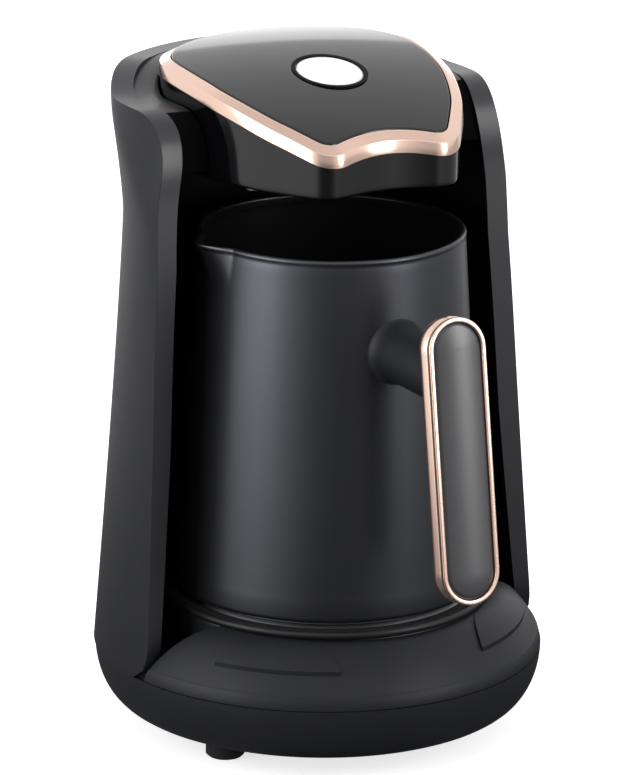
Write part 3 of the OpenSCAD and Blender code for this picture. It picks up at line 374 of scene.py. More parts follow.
# moulded rubber of feet and gasket: dull black, slightly rough
rubber = material("moulded_rubber", "#141415", 0.7, grain_mm=0.4, grain=0.2, grain_bump=0.02)
# cold rolled steel, unpainted, inside the machine: grey, drawn out one way by the rolls
steel = material("cold_rolled_steel", "#9a9ba0", 0.35, metallic=1.0, grain_mm=0.3, grain=0.1,
                 stretch=(1, 0.1, 1))
# enamelled steel ring round the hot plate: dark, with one thin line of light where it turns over
ring_enamel = material("enamelled_steel_ring", "#151517", 0.4, specular=0.35, grain_mm=0.4,
                       grain=0.05)
# glass epoxy board laminated under green solder mask, faintly woven
board_epoxy = material("glass_epoxy_solder_mask", "#1d5a38", 0.35, ior=1.55, grain_mm=0.3,
                       grain=0.08, grain_bump=0.01, stretch=(1, 1, 0.3))
# PVC sleeve shrunk over the capacitor: dark blue, half gloss
sleeve_pvc = material("shrunk_PVC_sleeve", "#20294a", 0.4, ior=1.53, grain_mm=0.6, grain=0.05)
# natural nylon, moulded, of the terminal block: milky, soft gloss
nylon = material("moulded_natural_nylon", "#d9d3c0", 0.45, ior=1.53, grain=0.08, tone=0.04)
# phenolic moulded for the thermostat's body: brown black, dull
phenolic = material("moulded_phenolic", "#2a1c16", 0.5, ior=1.6, grain_mm=0.4, grain=0.12,
                    grain_bump=0.01)
# PVC extruded over a flat cable: grey, its wires showing as ribs
cable_pvc = material("extruded_PVC_flat_cable", "#77797d", 0.5, ior=1.53, grain_mm=1.27, grain=0.1,
                     grain_bump=0.03, stretch=(1, 1, 0.02))
# acrylic moulded for the sensor's window: red so deep that it looks black, glossy
red_acrylic = material("infrared_red_acrylic", "#300609", 0.1, ior=1.49, grain_mm=1.0)


# ------------ shell
# shares of the wall's mesh: up the straight front, and over half the corner from its side
FRONT_SHARE, CORNER_SHARE, HALF_CORNER = 0.82, 0.18, 0.5


def cone_r(z):
    """Radius of the waisted wall at a height, about the base's axis."""
    if z < WAIST_Z:
        fall = (WAIST_Z - z) / (WAIST_Z - SEAM_Z)
        return WAIST_R + (SHELL_BASE_R - WAIST_R) * fall ** CONE_POWER
    return WAIST_R + RIM_FLARE * ((z - WAIST_Z) / (RIM_Z - WAIST_Z)) ** FLARE_POWER


def tip_r(z):
    """Radius of the wall's curled tips at a height, about the axis behind."""
    if z < CURL_Z:
        return CURL_LOW_R + CURL_LOW_SLOPE * (CURL_Z - z)
    return CURL_LOW_R - (CURL_LOW_R - CURL_R) * ((z - CURL_Z) / (RIM_Z - CURL_Z)) ** CURL_POWER


def flange(z):
    """Thickness of the wall at a height."""
    rise = (z - SEAM_Z) / (WAIST_Z - SEAM_Z)
    return min(FLANGE, FLANGE_LOW + (FLANGE - FLANGE_LOW) * rise * 2)


def wall_r(turn, z, depth=0.0):
    """Distance of the wall from the base's axis, at an angle from straight back.

    It is the smaller of the two turned faces' distances, blended where they are about equal.
    """
    main = cone_r(z) - depth
    r = tip_r(z) - depth
    across, ahead = CURL_BACK * sin(turn), CURL_BACK * cos(turn)
    curled = ahead + sqrt(max(r * r - across * across, 1.0))
    mix = max(CURL_BLEND - abs(main - curled), 0.0) / CURL_BLEND
    return min(main, curled) - mix * mix * CURL_BLEND / 4


def edge_y(z):
    """Front of the wall at a height, up to the rounded corner."""
    if z < SEAM_Z + FOOT_CORNER_H:
        rise = 1 - (z - SEAM_Z) / FOOT_CORNER_H
        return EDGE_LOW_Y + FOOT_CORNER_D * (1 - sqrt(max(1 - rise * rise, 0)))
    low, high = SEAM_Z + FOOT_CORNER_H, RIM_FRONT_Z - CORNER_H
    return EDGE_LOW_Y + (EDGE_TOP_Y - EDGE_LOW_Y) * (z - low) / (high - low)


def corner(t, drop=0.0):
    """(y, z) round the top front corner, from its foot at t = 0 to its top at t = 1."""
    a = t * pi / 2
    return (EDGE_TOP_Y + CORNER_D - (CORNER_D - drop) * cos(a) ** (2 / CORNER_POWER),
            RIM_FRONT_Z - CORNER_H + (CORNER_H - drop) * sin(a) ** (2 / CORNER_POWER))


def rim_height(y):
    """Height of the rim, level in front and ramping up to the back."""
    if y < RAMP_START_Y:
        return RIM_FRONT_Z
    t = min((y - RAMP_START_Y) / (RAMP_END_Y - RAMP_START_Y), 1.0)
    return RIM_FRONT_Z + (RIM_Z - RIM_FRONT_Z) * (1 - cos(pi * t)) / 2


def turn_at(y, z, depth=0.0):
    """Angle from straight back at which the wall stands at y."""
    low, high = 0.0, pi * 0.75
    for _ in range(30):
        mid = (low + high) / 2
        if wall_r(mid, z, depth) * cos(mid) > y:
            low = mid
        else:
            high = mid
    return (low + high) / 2


def rim_at(turn, depth):
    """Height of the rim at an angle, found in a few rounds, since the wall leans."""
    z = RIM_Z
    for _ in range(6):
        z = rim_height(wall_r(turn, z, depth) * cos(turn))
    return z


def front_edge(w, depth):
    """(angle, height) up the front edge and half round its corner."""
    if w < FRONT_SHARE:
        z = SEAM_Z + (RIM_FRONT_Z - CORNER_H - SEAM_Z) * w / FRONT_SHARE
        y = edge_y(z)
    else:
        y, z = corner((w - FRONT_SHARE) / (1 - FRONT_SHARE) * HALF_CORNER)
    return turn_at(y, z, depth), z


def top_edge(s, depth):
    """(angle, height) over the other half of the corner and along the rim to the back."""
    if s < CORNER_SHARE:
        y, z = corner(HALF_CORNER + s / CORNER_SHARE * (1 - HALF_CORNER))
        return turn_at(y, z, depth), z
    start = turn_at(EDGE_TOP_Y + CORNER_D, RIM_FRONT_Z, depth)
    turn = start * (1 - (s - CORNER_SHARE) / (1 - CORNER_SHARE))
    return turn, rim_at(turn, depth)


def wall_point(u, w, depth):
    """A patch of the wall stretched between its edges: u runs from tip to tip, w from foot to rim.

    depth is 0 for the outer face and 1 for the inner one, a flange's thickness further in.
    """
    side = -1 if u < 0.5 else 1
    s = 2 * (0.5 - abs(u - 0.5))
    left, top = front_edge(w, depth), top_edge(s, depth)
    foot_turn, foot_z = front_edge(0, depth)
    join_turn, join_z = front_edge(1, depth)
    low = (foot_turn * (1 - s), foot_z)
    back = (0.0, SEAM_Z + (RIM_Z - SEAM_Z) * w)
    spot = [(1 - s) * left[k] + s * back[k] + (1 - w) * low[k] + w * top[k]
            - ((1 - s) * (1 - w) * (foot_turn, foot_z)[k] + (1 - s) * w * (join_turn, join_z)[k]
               + s * (1 - w) * (0.0, SEAM_Z)[k] + s * w * (0.0, RIM_Z)[k]) for k in (0, 1)]
    thick = depth * flange(spot[1])
    r = wall_r(spot[0], spot[1], thick)
    return point(side * r * sin(spot[0]), r * cos(spot[0]), spot[1])


def make_shell():
    """Outer and inner faces of the wall, joined round their edges by strips in a shinier satin, a
    painted sheen.
    """
    bm, columns, rows = bmesh.new(), 112, 52
    radius = bm.edges.layers.float.new("bevel_weight_edge")
    surface(columns, rows, lambda u, v: wall_point(u, v, 0.0), bm)
    outer = open_edges(bm)
    surface(columns, rows, lambda u, v: wall_point(u, v, 1.0), bm)
    rims = open_edges(bm)
    for edge in rims:
        height = (edge.verts[0].co.z + edge.verts[1].co.z) / 2 / MM
        edge[radius] = RIM_SHARE if height > RIM_FRONT_Z - 0.5 else INNER_SHARE
    for edge in outer:
        edge[radius] = 1.0
    # painted sheen: the strips joining the two faces take the shinier satin
    for face in bmesh.ops.bridge_loops(bm, edges=rims)["faces"]:
        face.material_index = 1
    made = piece("outer_shell_wall", bm, satin_abs, "machine", "outer_shell", soften=EDGE_ROUND,
                 segments=4)
    made.modifiers[0].limit_method = "WEIGHT"
    made.data.materials.append(satin_abs_painted_sheen)
    return made


make_shell()


def make_liner():
    """Near-black sheet of painted shade over the bay's wall behind the front flange, a hair proud
    of the shell's inner face.
    """
    columns, rows = 160, 40

    def place(u, v, sunk):
        z = FLOOR_Z + (LINER_TOP_Z - FLOOR_Z) * v
        front = (edge_y(z) if z < RIM_FRONT_Z - CORNER_H else EDGE_TOP_Y) + LINER_SET_BACK
        turn = (2 * u - 1) * turn_at(front, z, flange(z))
        r = wall_r(turn, z, flange(z)) - LINER_PROUD + sunk
        return point(r * sin(turn), r * cos(turn), z)
    bm = surface(columns, rows, lambda u, v: place(u, v, 0.0))
    surface(columns, rows, lambda u, v: place(u, v, LINER_T), bm)
    bmesh.ops.bridge_loops(bm, edges=open_edges(bm))
    return piece("bay_liner_painted_shade", bm, dull_abs_and_painted_shade, "machine", "inner_liner")


make_liner()


# ------------ head
NOTCH_RISE = NOTCH_FRONT - LOBE_FRONT + LOBE_R
NOTCH_R = (LOBE_X ** 2 + NOTCH_RISE ** 2 - LOBE_R ** 2) / (2 * (LOBE_R - NOTCH_RISE))
LOBE_Y = LOBE_FRONT - LOBE_R
CHEEK = atan2(LOBE_X, LOBE_Y) + acos((HEAD_R - LOBE_R) / hypot(LOBE_X, LOBE_Y))
BACK_CORNER_ROUND = 13.0            # how far the rounding of a rear corner reaches along each side
# how far the outline stands outside those arcs, by distance behind the middle
HEAD_EASE = [(-44, 2.1), (-38, 1.2), (-33, 0.6), (-26, -1.4), (-19, -2.2), (-12, -2.3), (-5, -1.4),
             (3, 0.3), (12, 0.8), (22, 0.6), (34, 0.0), (60, 0.0)]


def arc(centre, radius, start, end, steps):
    """Points round an arc; angles are from +X towards +Y."""
    return [(centre[0] + radius * cos(start + (end - start) * k / steps),
             centre[1] + radius * sin(start + (end - start) * k / steps)) for k in range(steps + 1)]


def eased(path, table, smooth=16):
    """The path moved out by the offsets of a table of (y, offset), blended along its length."""
    count = len(path)
    offsets = []
    for _, y in path:
        t = min(max(y, table[0][0]), table[-1][0])
        i = max(k for k in range(len(table) - 1) if table[k][0] <= t)
        share = (t - table[i][0]) / (table[i + 1][0] - table[i][0])
        offsets.append(table[i][1] + (table[i + 1][1] - table[i][1]) * share)
    window = range(-smooth, smooth + 1)
    for _ in range(3):
        offsets = [sum(offsets[(k + d) % count] for d in window) / len(window)
                   for k in range(count)]
    return [inset(path, k / count, -offsets[k]) for k in range(count)]


def head_path(count=720):
    """The head's outline from above, anticlockwise from the middle of its front."""
    lobe, notch = (LOBE_X, -LOBE_Y), (0.0, -NOTCH_FRONT - NOTCH_R)
    meet = atan2(lobe[1] - notch[1], lobe[0] - notch[0])
    half = arc(notch, NOTCH_R, pi / 2, meet, 120)
    half += arc(lobe, LOBE_R, meet - pi, CHEEK - pi / 2, 160)
    half += arc((0, 0), HEAD_R, CHEEK - pi / 2, 0, 240)
    corner_y = sqrt(HEAD_BACK_R ** 2 - HEAD_HALF_W ** 2)
    corner_turn = atan2(corner_y, HEAD_HALF_W)
    round_turn = corner_turn + BACK_CORNER_ROUND / HEAD_BACK_R
    share = 1 - BACK_CORNER_ROUND / corner_y
    start = Vector((HEAD_R + (HEAD_HALF_W - HEAD_R) * share, corner_y * share))
    end = Vector((HEAD_BACK_R * cos(round_turn), HEAD_BACK_R * sin(round_turn)))
    half += bend(start, Vector((HEAD_HALF_W, corner_y)), end, 80)
    half += arc((0, 0), HEAD_BACK_R, round_turn, pi / 2, 240)[1:]
    path = evenly(half + [(-x, y) for x, y in reversed(half[1:-1])], count)
    return eased(path, HEAD_EASE)


HEAD_PATH = head_path()


def lid_height(x, y):
    """Height of the lid's crowned face."""
    swing = LID_SPINE_R - LID_CROWN_R + sqrt(LID_CROWN_R ** 2 - x * x)
    return LID_Z - LID_SPINE_R + sqrt(swing ** 2 - (y - LID_PEAK_Y) ** 2)


def make_head():
    """Glossy wall under the trim, with a small radius at its lower edge."""
    under = HEAD_Z + HEAD_LIP_H
    foot = rounded([(HEAD_UNDER_W, under, 0), (HEAD_LIP_W, under, 0.3), (HEAD_LIP_W, HEAD_Z, 0.3),
                    (0, HEAD_Z, HEAD_FOOT_ROUND), (0, LID_Z, 0)], steps=5)[:-1]
    rows, wall_rows, wall_top = len(foot) - 1, 12, 2.0

    def place(u, v):
        at = int(round(v * (rows + wall_rows)))
        depth, z = foot[min(at, rows)]
        x, y = inset(HEAD_PATH, u, depth)
        climb = max(at - rows, 0) / wall_rows
        return point(x, y, z + (lid_height(x, y) - wall_top - z) * climb)
    bm = surface(480, rows + wall_rows, place)
    return piece("head_fascia", bm, polished_abs, "machine", "head_body")


make_head()


def trim_width(u):
    """Width of the trim seen from above: narrower round the two lobes."""
    x, y = along(HEAD_PATH, u)[0]
    near = exp(-((abs(x) - LOBE_X) / TRIM_LOBE_SPREAD) ** 2) if y < 0 else 0.0
    return TRIM_W - (TRIM_W - TRIM_LOBE_W) * near


def make_trim():
    """Metallised band round the lid: a steep outer face, one that rises inwards, rounded edges."""
    section = rounded(TRIM_SECTION, steps=8)
    rows = len(section) - 1

    def place(u, v):
        share, height = section_point(section, v)
        x, y = inset(HEAD_PATH, u, share * (trim_width(u) if share > 0 else TRIM_W))
        back = min(max((y - TRIM_DROP_Y) / TRIM_DROP_RUN, 0.0), 1.0)
        drop = TRIM_BACK_DROP * back * back * (3 - 2 * back)
        return point(x, y, lid_height(x, y) + height - drop)
    bm = surface(720, rows, place)
    return piece("rose_gold_trim", bm, rose_gold, "machine", "trim_band", angle=60)


make_trim()


def hole_point(u, radius):
    """A point on the lid round the button's hole."""
    turn = 2 * pi * u - pi / 2
    return radius * cos(turn), BUTTON_Y + radius * sin(turn) * cos(LID_TILT)


def make_lid():
    """Crowned piano-black panel with a hole for the button, softened at both edges."""
    gap, thick, fillet, hole_fillet, rows, edge_rows = 0.15, 2.4, 0.45, 0.2, 64, 4

    def place(u, v):
        """Up the outer edge in edge_rows, across to the hole, and down it in as many."""
        at = v * rows
        near = min(at, rows - at)
        over_edge = pi / 2 * min(max(near - 1, 0) / (edge_rows - 1), 1.0)
        across = min(max((at - edge_rows) / (rows - 2 * edge_rows), 0.0), 1.0)
        soft = hole_fillet if across == 1 else fillet
        drop = thick if near < 1 else soft * (1 - sin(over_edge))
        over = 0.0 if near < 1 else soft * (1 - cos(over_edge))
        outer = inset(HEAD_PATH, u, trim_width(u) + gap + (over if across < 1 else fillet))
        hole = hole_point(u, WELL_R + (over if across > 0 else hole_fillet))
        x, y = [a + (b - a) * across for a, b in zip(outer, hole)]
        return point(x, y, lid_height(x, y) - drop)
    bm = surface(480, rows, place)
    return piece("lid_panel_crowned", bm, polished_abs, "machine", "lid_panel")


make_lid()


def on_lid(x, y, z):
    """A point of the button's own frame: its axis stands square on the lid."""
    return point(x, BUTTON_Y + y * cos(LID_TILT) - z * sin(LID_TILT),
                 BUTTON_Z + y * sin(LID_TILT) + z * cos(LID_TILT))


def make_button():
    """White cap, a little domed, with a soft edge."""
    section = [(0.001, BUTTON_PROUD)]
    for k in range(1, 9):
        r = (BUTTON_R - CAP_ROUND) * k / 8
        section.append((r, BUTTON_PROUD - r * r / (2 * CAP_DOME_R)))
    top = section[-1][1]
    for k in range(1, 6):
        a = pi / 2 * k / 5
        section.append((BUTTON_R - CAP_ROUND + CAP_ROUND * sin(a), top - CAP_ROUND * (1 - cos(a))))
    inner_r = BUTTON_R - CAP_WALL
    section += [(BUTTON_R, -CAP_SKIRT), (inner_r, -CAP_SKIRT), (inner_r, -CAP_T), (0.001, -CAP_T)]
    rows = len(section) - 1

    def place(u, v):
        r, z = section_point(section, v)
        return on_lid(r * sin(2 * pi * u), -r * cos(2 * pi * u), z)
    bm = surface(128, rows, place)
    return piece("power_button_cap", bm, white_abs, "button", "power_button", angle=50)


make_button()


# ------------ filler between the head and the wings
# section of the filler: share of the way from the wall to the head, height over its face
FILLER_SECTION = [(0.0, -FILLER_T), (0.0, 0.0), (0.3, 0.0), (0.6, 0.0), (0.9, 0.0), (1.0, -0.6),
                  (1.0, -FILLER_T), (0.5, -FILLER_T), (0.0, -FILLER_T)]
# shares of half its length, up its front and up to the corner's end; and of the corner, before
# it comes nearer to the wall's edge
FILLER_FRONT, FILLER_BEND, FILLER_EASE_FROM = 0.16, 0.36, 0.3
# steps along half its length; its sides, square to its run at first, turn upright by the second
# number, over the third
FILLER_STEPS, FILLER_UPRIGHT, FILLER_TURNING = 60, 40, 12
SHADE_DEPTH, SHADE_FACING = 1.2, 0.3    # its faces further down, or facing up less, take the black painted shade


def head_reach(turn):
    """Distance of the head's side from the base's axis, at an angle from straight back."""
    best, every = 0.0, 4            # every fourth point of the outline is near enough
    x, y = sin(turn), cos(turn)
    for (ax, ay), (bx, by) in zip(HEAD_PATH[::every], HEAD_PATH[every::every] + HEAD_PATH[:1]):
        cross = x * (by - ay) - y * (bx - ax)
        if abs(cross) < 1e-9:
            continue
        t = (x * (-ay) - y * (-ax)) / cross
        reach = (ax * (by - ay) - ay * (bx - ax)) / cross
        if -1e-6 <= t <= 1 + 1e-6 and reach > best:
            best = reach
    return best


def filler_path(t):
    """(angle, height) of the filler's face: up its front from t = 0, over the corner, and back."""
    foot = asin((FILLER_Z - RIM_FRONT_Z + CORNER_H) / CORNER_H) * 2 / pi
    if t < FILLER_BEND:
        if t < FILLER_FRONT:
            at = foot + (HALF_CORNER - foot) * t / FILLER_FRONT
        else:
            at = HALF_CORNER + (1 - HALF_CORNER) * (t - FILLER_FRONT) / (FILLER_BEND - FILLER_FRONT)
        nearer = max(at - FILLER_EASE_FROM, 0) / (1 - FILLER_EASE_FROM)
        y, z = corner(at, FILLER_FRONT_BACK + (FILLER_TOP_BACK - FILLER_FRONT_BACK) * nearer)
        return turn_at(y, z, FLANGE), z
    start = turn_at(EDGE_TOP_Y + CORNER_D, RIM_FRONT_Z - FILLER_TOP_BACK, FLANGE)
    turn = start * (1 - (t - FILLER_BEND) / (1 - FILLER_BEND))
    return turn, rim_at(turn, FLANGE) - FILLER_TOP_BACK


def make_filler():
    """Closes the space between the head and the wall, from one front edge round to the other."""
    half = [filler_path(k / FILLER_STEPS) for k in range(FILLER_STEPS + 1)]
    path = [(turn, z, -1) for turn, z in half] + [(turn, z, 1) for turn, z in reversed(half[:-1])]
    last = len(path) - 1
    reaches = [(wall_r(turn, z, flange(z)) + FILLER_IN_WALL, head_reach(turn) + FILLER_IN_HEAD)
               for turn, z, _ in path]

    def behind(turn, z):
        return wall_r(turn, z, FLANGE) * cos(turn)

    def place(u, v):
        i = min(int(round(u * last)), last)
        turn, z, side = path[i]
        outer, inner = reaches[i]
        a, b = path[max(i - 1, 0)], path[min(i + 1, last)]
        run = Vector((behind(b[0], b[1]) - behind(a[0], a[1]), b[1] - a[1])) * -side
        run = run.normalized() if run.length > 1e-6 else Vector((1.0, 0.0))
        across, high = section_point(FILLER_SECTION, v)
        r = outer + (inner - outer) * across
        square = min(max((FILLER_UPRIGHT - min(i, last - i)) / FILLER_TURNING, 0), 1)
        normal = Vector((-run.y, run.x)) * square + Vector((0, 1)) * (1 - square)
        return point(side * r * sin(turn), r * cos(turn) + normal.x * high, z + normal.y * high)
    bm = surface(last, len(FILLER_SECTION) - 1, place)
    weld(bm)
    bmesh.ops.holes_fill(bm, edges=open_edges(bm), sides=20)
    # painted sheen: the filler's top takes the shinier satin
    made = piece("head_filler_band", bm, satin_abs_painted_sheen, "machine", "top_shroud", soften=0.5, angle=40)
    # painted shade: the filler's faces below the rim or facing less upwards are given the black
    made.data.materials.append(painted_shade_abs)
    for face in made.data.polygons:
        if face.center.z / MM < RIM_FRONT_Z - SHADE_DEPTH or face.normal.z < SHADE_FACING:
            face.material_index = 1
    return made


make_filler()


# ------------ jug
JUG_Y = -JUG_BACK


def jug_wall_r(z):
    """Radius of the jug's tapered wall at a height."""
    return JUG_RIM_R + (JUG_FOOT_R - JUG_RIM_R) * (JUG_RIM_Z - z) / (JUG_RIM_Z - JUG_LOW_Z)


def spout_push(turn, z):
    """How far the spout leans out of the round rim, at an angle from its tip."""
    side = max(1 - sqrt(turn * turn + SPOUT_TIP_ROUND) / SPOUT_HALF, 0.0)
    rise = min(max((z - JUG_RIM_Z + SPOUT_H) / SPOUT_H, 0.0), SPOUT_MOST)
    return SPOUT_REACH * side * rise ** SPOUT_POWER


def make_jug():
    """Drawn steel jug: tapered wall, rolled rim, rounded foot, a spout pulled out of the rim."""
    outer = [(0.001, JUG_LOW_Z)]
    for k in range(7):
        a = pi / 2 * k / 6
        outer.append((JUG_FOOT_R - JUG_FOOT_ROUND + JUG_FOOT_ROUND * sin(a),
                      JUG_LOW_Z + JUG_FOOT_ROUND * (1 - cos(a))))
    low, top, inner_top, steps = JUG_WALL_LOW_Z, JUG_RIM_Z - 1.5, JUG_RIM_Z - 2, 40
    climb = [low + (top - low) * k / steps for k in range(steps + 1)]
    fall = [inner_top - (inner_top - low) * k / steps for k in range(steps + 1)]
    bead = [(JUG_RIM_R - BEAD_IN + BEAD_R * cos(a), JUG_RIM_Z + BEAD_UP + BEAD_R * sin(a))
            for a in [radians(BEAD_FROM + (180 - BEAD_FROM) * k / 12) for k in range(13)]]
    wall, inner = [(jug_wall_r(z), z) for z in climb], [(jug_wall_r(z) - JUG_WALL, z) for z in fall]
    floor = [(JUG_FOOT_R - JUG_WALL - 4, JUG_LOW_Z + JUG_WALL + 0.6), (0.001, JUG_LOW_Z + JUG_WALL)]
    section = outer + wall + bead + inner + floor
    rows = len(section) - 1

    def place(u, v):
        r, z = section_point(section, v)
        turn = 2 * pi * (u - 0.5)
        if r > JUG_RIM_R / 2:
            r += spout_push(turn, z)
        return point(-r * cos(turn), JUG_Y - r * sin(turn), z)
    bm = surface(360, rows, place)
    made = piece("jug_drawn_steel", bm, jug_enamel, "jug", "jug_body", angle=60)
    made.data.materials.append(nonstick)
    for face in made.data.polygons:
        spot = face.center / MM - Vector((0, BASE_Y + JUG_Y, 0))
        inwards = face.normal.x * spot.x + face.normal.y * spot.y < 0
        if spot.z < JUG_RIM_Z - 1 and (inwards or face.normal.z > 0.5):
            face.material_index = 1
    return made


make_jug()


def make_neck():
    """Stalk of the handle, flared where it meets the jug's wall."""
    reach = GRIP_REACH - GRIP_D + NECK_IN_GRIP
    rows, flare_rows = 30, 10

    def place(u, v):
        """Out of the wall over the flare, on to the grip, and in to the middle in the last row."""
        t = v * rows
        a = pi / 2 * min(t / flare_rows, 1.0)
        r = 0 if t == rows else NECK_FLARE_R - (NECK_FLARE_R - NECK_R) * sin(a)
        x, z = r * cos(2 * pi * u), NECK_Z + r * sin(2 * pi * u)
        near = -sqrt(jug_wall_r(z) ** 2 - x * x) + 0.1
        far = sin(GRIP_TILT) / cos(GRIP_TILT) * (z - GRIP_Z) - reach
        share = min(max((t - flare_rows) / (rows - flare_rows - 1), 0.0), 1.0)
        y = (near - NECK_FLARE_D * (1 - cos(a))) * (1 - share) + far * share
        return point(x, JUG_Y + y, z)
    bm = surface(96, rows, place)
    weld(bm)
    bmesh.ops.holes_fill(bm, edges=open_edges(bm), sides=200)
    return piece("handle_neck_flared", bm, satin_abs, "jug", "handle_neck", angle=50)


make_neck()


def on_grip(x, y, z):
    """A point of the grip's own frame: x across, y up along it, z out of its face."""
    return point(x, JUG_Y - GRIP_REACH + y * sin(GRIP_TILT) - z * cos(GRIP_TILT),
                 GRIP_Z + y * cos(GRIP_TILT) + z * sin(GRIP_TILT))


def stadium_path(count=400):
    """The grip's outline, anticlockwise seen from in front."""
    half = (GRIP_L - GRIP_W) / 2
    ends = arc((0, -half), GRIP_W / 2, pi, 2 * pi, 40) + arc((0, half), GRIP_W / 2, 0, pi, 40)
    return evenly(ends, count)


GRIP_PATH = stadium_path()


def round_grip(name, corners, steps, finish, stands_for):
    """A section with rounded corners carried round the grip's outline."""
    section = rounded(corners, steps)

    def place(u, v):
        depth, z = section_point(section, v)
        x, y = inset(GRIP_PATH, u, min(depth, GRIP_W / 2))
        return on_grip(x, y, z)
    return piece(name, surface(240, len(section) - 1, place), finish, "jug", stands_for, angle=60)


round_grip("grip_frame_band", SIDE_SECTION, 10, rose_gold, "grip_frame")
round_grip("grip_inner_band", RIM_SECTION, 6, rose_gold, "grip_bezel")
round_grip("grip_back", BACK_SECTION, 8, satin_abs, "grip_body")


def make_grip_panel():
    """Smoked strip in the grip, crowned across its width and falling off round its ends."""
    half = GRIP_W / 2 - PANEL_INSET

    def place(u, v):
        """From a foot under its edge in to its middle line, where the last rows meet."""
        x, y = inset(GRIP_PATH, u, PANEL_INSET + half * min(v * 1.1, 1.0) ** 0.8)
        end = max(abs(y) - (GRIP_L - GRIP_W) / 2, 0.0) / (GRIP_W / 2)
        crown = PANEL_CROWN * (1 - (x / half) ** 2 - end * end)
        return on_grip(x, y, max(crown, 0.0) - PANEL_SUNK if v > 0 else -PANEL_FOOT)
    bm = surface(240, 20, place)
    return piece("grip_smoked_panel", bm, smoked_acrylic, "jug", "grip_panel", angle=60)


make_grip_panel()


# ------------ base
def dome_height(r):
    """Height of the dome at a distance from the base's axis: flat, then round down to its rim."""
    if r < DOME_START_R:
        return COVER_TOP_Z
    t = (r - DOME_START_R) / (DOME_EDGE_R - DOME_START_R)
    return DOME_BAND_Z + (COVER_TOP_Z - DOME_BAND_Z) * (1 - t * t)


def dome_end(r):
    """Angle from straight ahead at which the dome ends, beside the wing's foot."""
    return acos((DOME_END_SLANT * (BASE_R - r) - DOME_END_Y) / r)


def add_pad(bm, side):
    """A pad that leaves the dome at the top of its arch and stands proud at its outer edge."""
    far = PAD_TOP_R + PAD_ARCH_R
    reach = acos((PAD_EDGE_R ** 2 + far ** 2 - PAD_ARCH_R ** 2) / (2 * PAD_EDGE_R * far))

    def place(u, v):
        off = reach * sin(pi * (u - 0.5)) * 0.999
        arch = far * cos(off) - sqrt(max(PAD_ARCH_R ** 2 - (far * sin(off)) ** 2, 0))
        r = arch + (PAD_EDGE_R - arch) * v
        rise = PAD_RISE * max((r - PAD_TOP_R) / (PAD_EDGE_R - PAD_TOP_R), 0)
        turn = side * PAD_ANGLE + off
        return point(r * sin(turn), -r * cos(turn), dome_height(r) + rise)
    grid = surface(48, 16, place)
    weld(grid)
    skirt = bmesh.ops.extrude_edge_only(grid, edges=open_edges(grid))
    moved = [g for g in skirt["geom"] if isinstance(g, bmesh.types.BMVert)]
    bmesh.ops.translate(grid, verts=moved, vec=(0, 0, -PAD_SKIRT * MM))
    bmesh.ops.holes_fill(grid, edges=open_edges(grid), sides=400)
    mesh = bpy.data.meshes.new("pad")
    grid.to_mesh(mesh)
    grid.free()
    bm.from_mesh(mesh)
    bpy.data.meshes.remove(mesh)


def make_cover():
    """Domed front of the base with its two pads, in to the wall round the seat."""
    band_r, inner_r = DOME_EDGE_R - 0.2, DOME_START_R - 2.0
    section = [(BASE_R - 2, SEAM_Z), (BASE_R - 0.5, SEAM_Z), (BASE_R - 0.1, SEAM_Z + 0.25),
               (BASE_R - 0.05, SEAM_Z + 0.6), (DOME_EDGE_R + 0.25, DOME_BAND_Z - 0.5)]
    for k in range(21):
        r = band_r - (band_r - DOME_START_R) * (1 - cos(pi / 2 * k / 20))
        section.append((r, max(dome_height(r), DOME_BAND_Z + 0.5)))
    section += [(inner_r, COVER_TOP_Z), (inner_r, FLOOR_Z)]

    def place(u, v):
        r, z = section_point(section, v)
        turn = (2 * u - 1) * dome_end(r)
        tub = JUG_BACK * cos(turn) + sqrt((TUB_WALL_R - 0.5) ** 2 - (JUG_BACK * sin(turn)) ** 2)
        if r < tub:
            r, z = tub, min(z, dome_height(tub))
            turn = (2 * u - 1) * dome_end(r)
        return point(r * sin(turn), -r * cos(turn), z)
    bm = surface(240, len(section) - 1, place)
    for side in (-1, 1):
        add_pad(bm, side)
    return piece("base_dome", bm, satin_abs, "machine", "base_cover", soften=0.45, angle=30)


make_cover()
BASE_FLOOR_R = BASE_R - 1.5
FLOOR_SECTION = [(FLOOR_HOLE_R, SEAM_Z), (BASE_FLOOR_R, SEAM_Z), (BASE_FLOOR_R, FLOOR_Z),
                 (FLOOR_HOLE_R, FLOOR_Z), (FLOOR_HOLE_R, SEAM_Z)]
# painted shade: the base's floor in near black shows in the gap beside the wing's foot
piece("base_floor", turned(FLOOR_SECTION), dull_abs_and_painted_shade, "machine")
TUB_SECTION = [(TUB_WALL_R, FLOOR_Z), (TUB_WALL_R, TUB_Z), (TUB_R, TUB_Z), (TUB_R, TUB_LEDGE_Z),
               (TUB_LEDGE_R, TUB_LEDGE_Z), (TUB_LEDGE_R, FLOOR_Z), (TUB_WALL_R, FLOOR_Z)]
# painted sheen: the seat's wall takes the shinier satin
piece("plate_tub", turned(TUB_SECTION, centre_y=JUG_Y), satin_abs_painted_sheen, "machine", soften=0.4)


# ------------ studio
# The room as mirrors see it, by direction. Round the camera it is dim: as bright as FRONT says
# straight at ROOM_TURN (a cosine of ROOM_FROM to the way back), and ROOM_BACK from ROOM_TO on.
ROOM_TURN = VIEW_TURN + radians(8)
ROOM_FROM, ROOM_TO, ROOM_BACK, WALL_FRONT, FLOOR_FRONT = -1.0, -0.7, 1.0, 0.45, 0.11
# towards the right it dims from the cosine RIGHT_FROM on, and overhead between two heights
RIGHT_FROM, WALL_RIGHT, FLOOR_RIGHT = 0.2, 0.9, 0.45
TOP_FROM, TOP_TO, ROOM_TOP = 0.75, 0.98, 0.7
ROOM_FILL = 0.5                     # even light of the room on matt faces
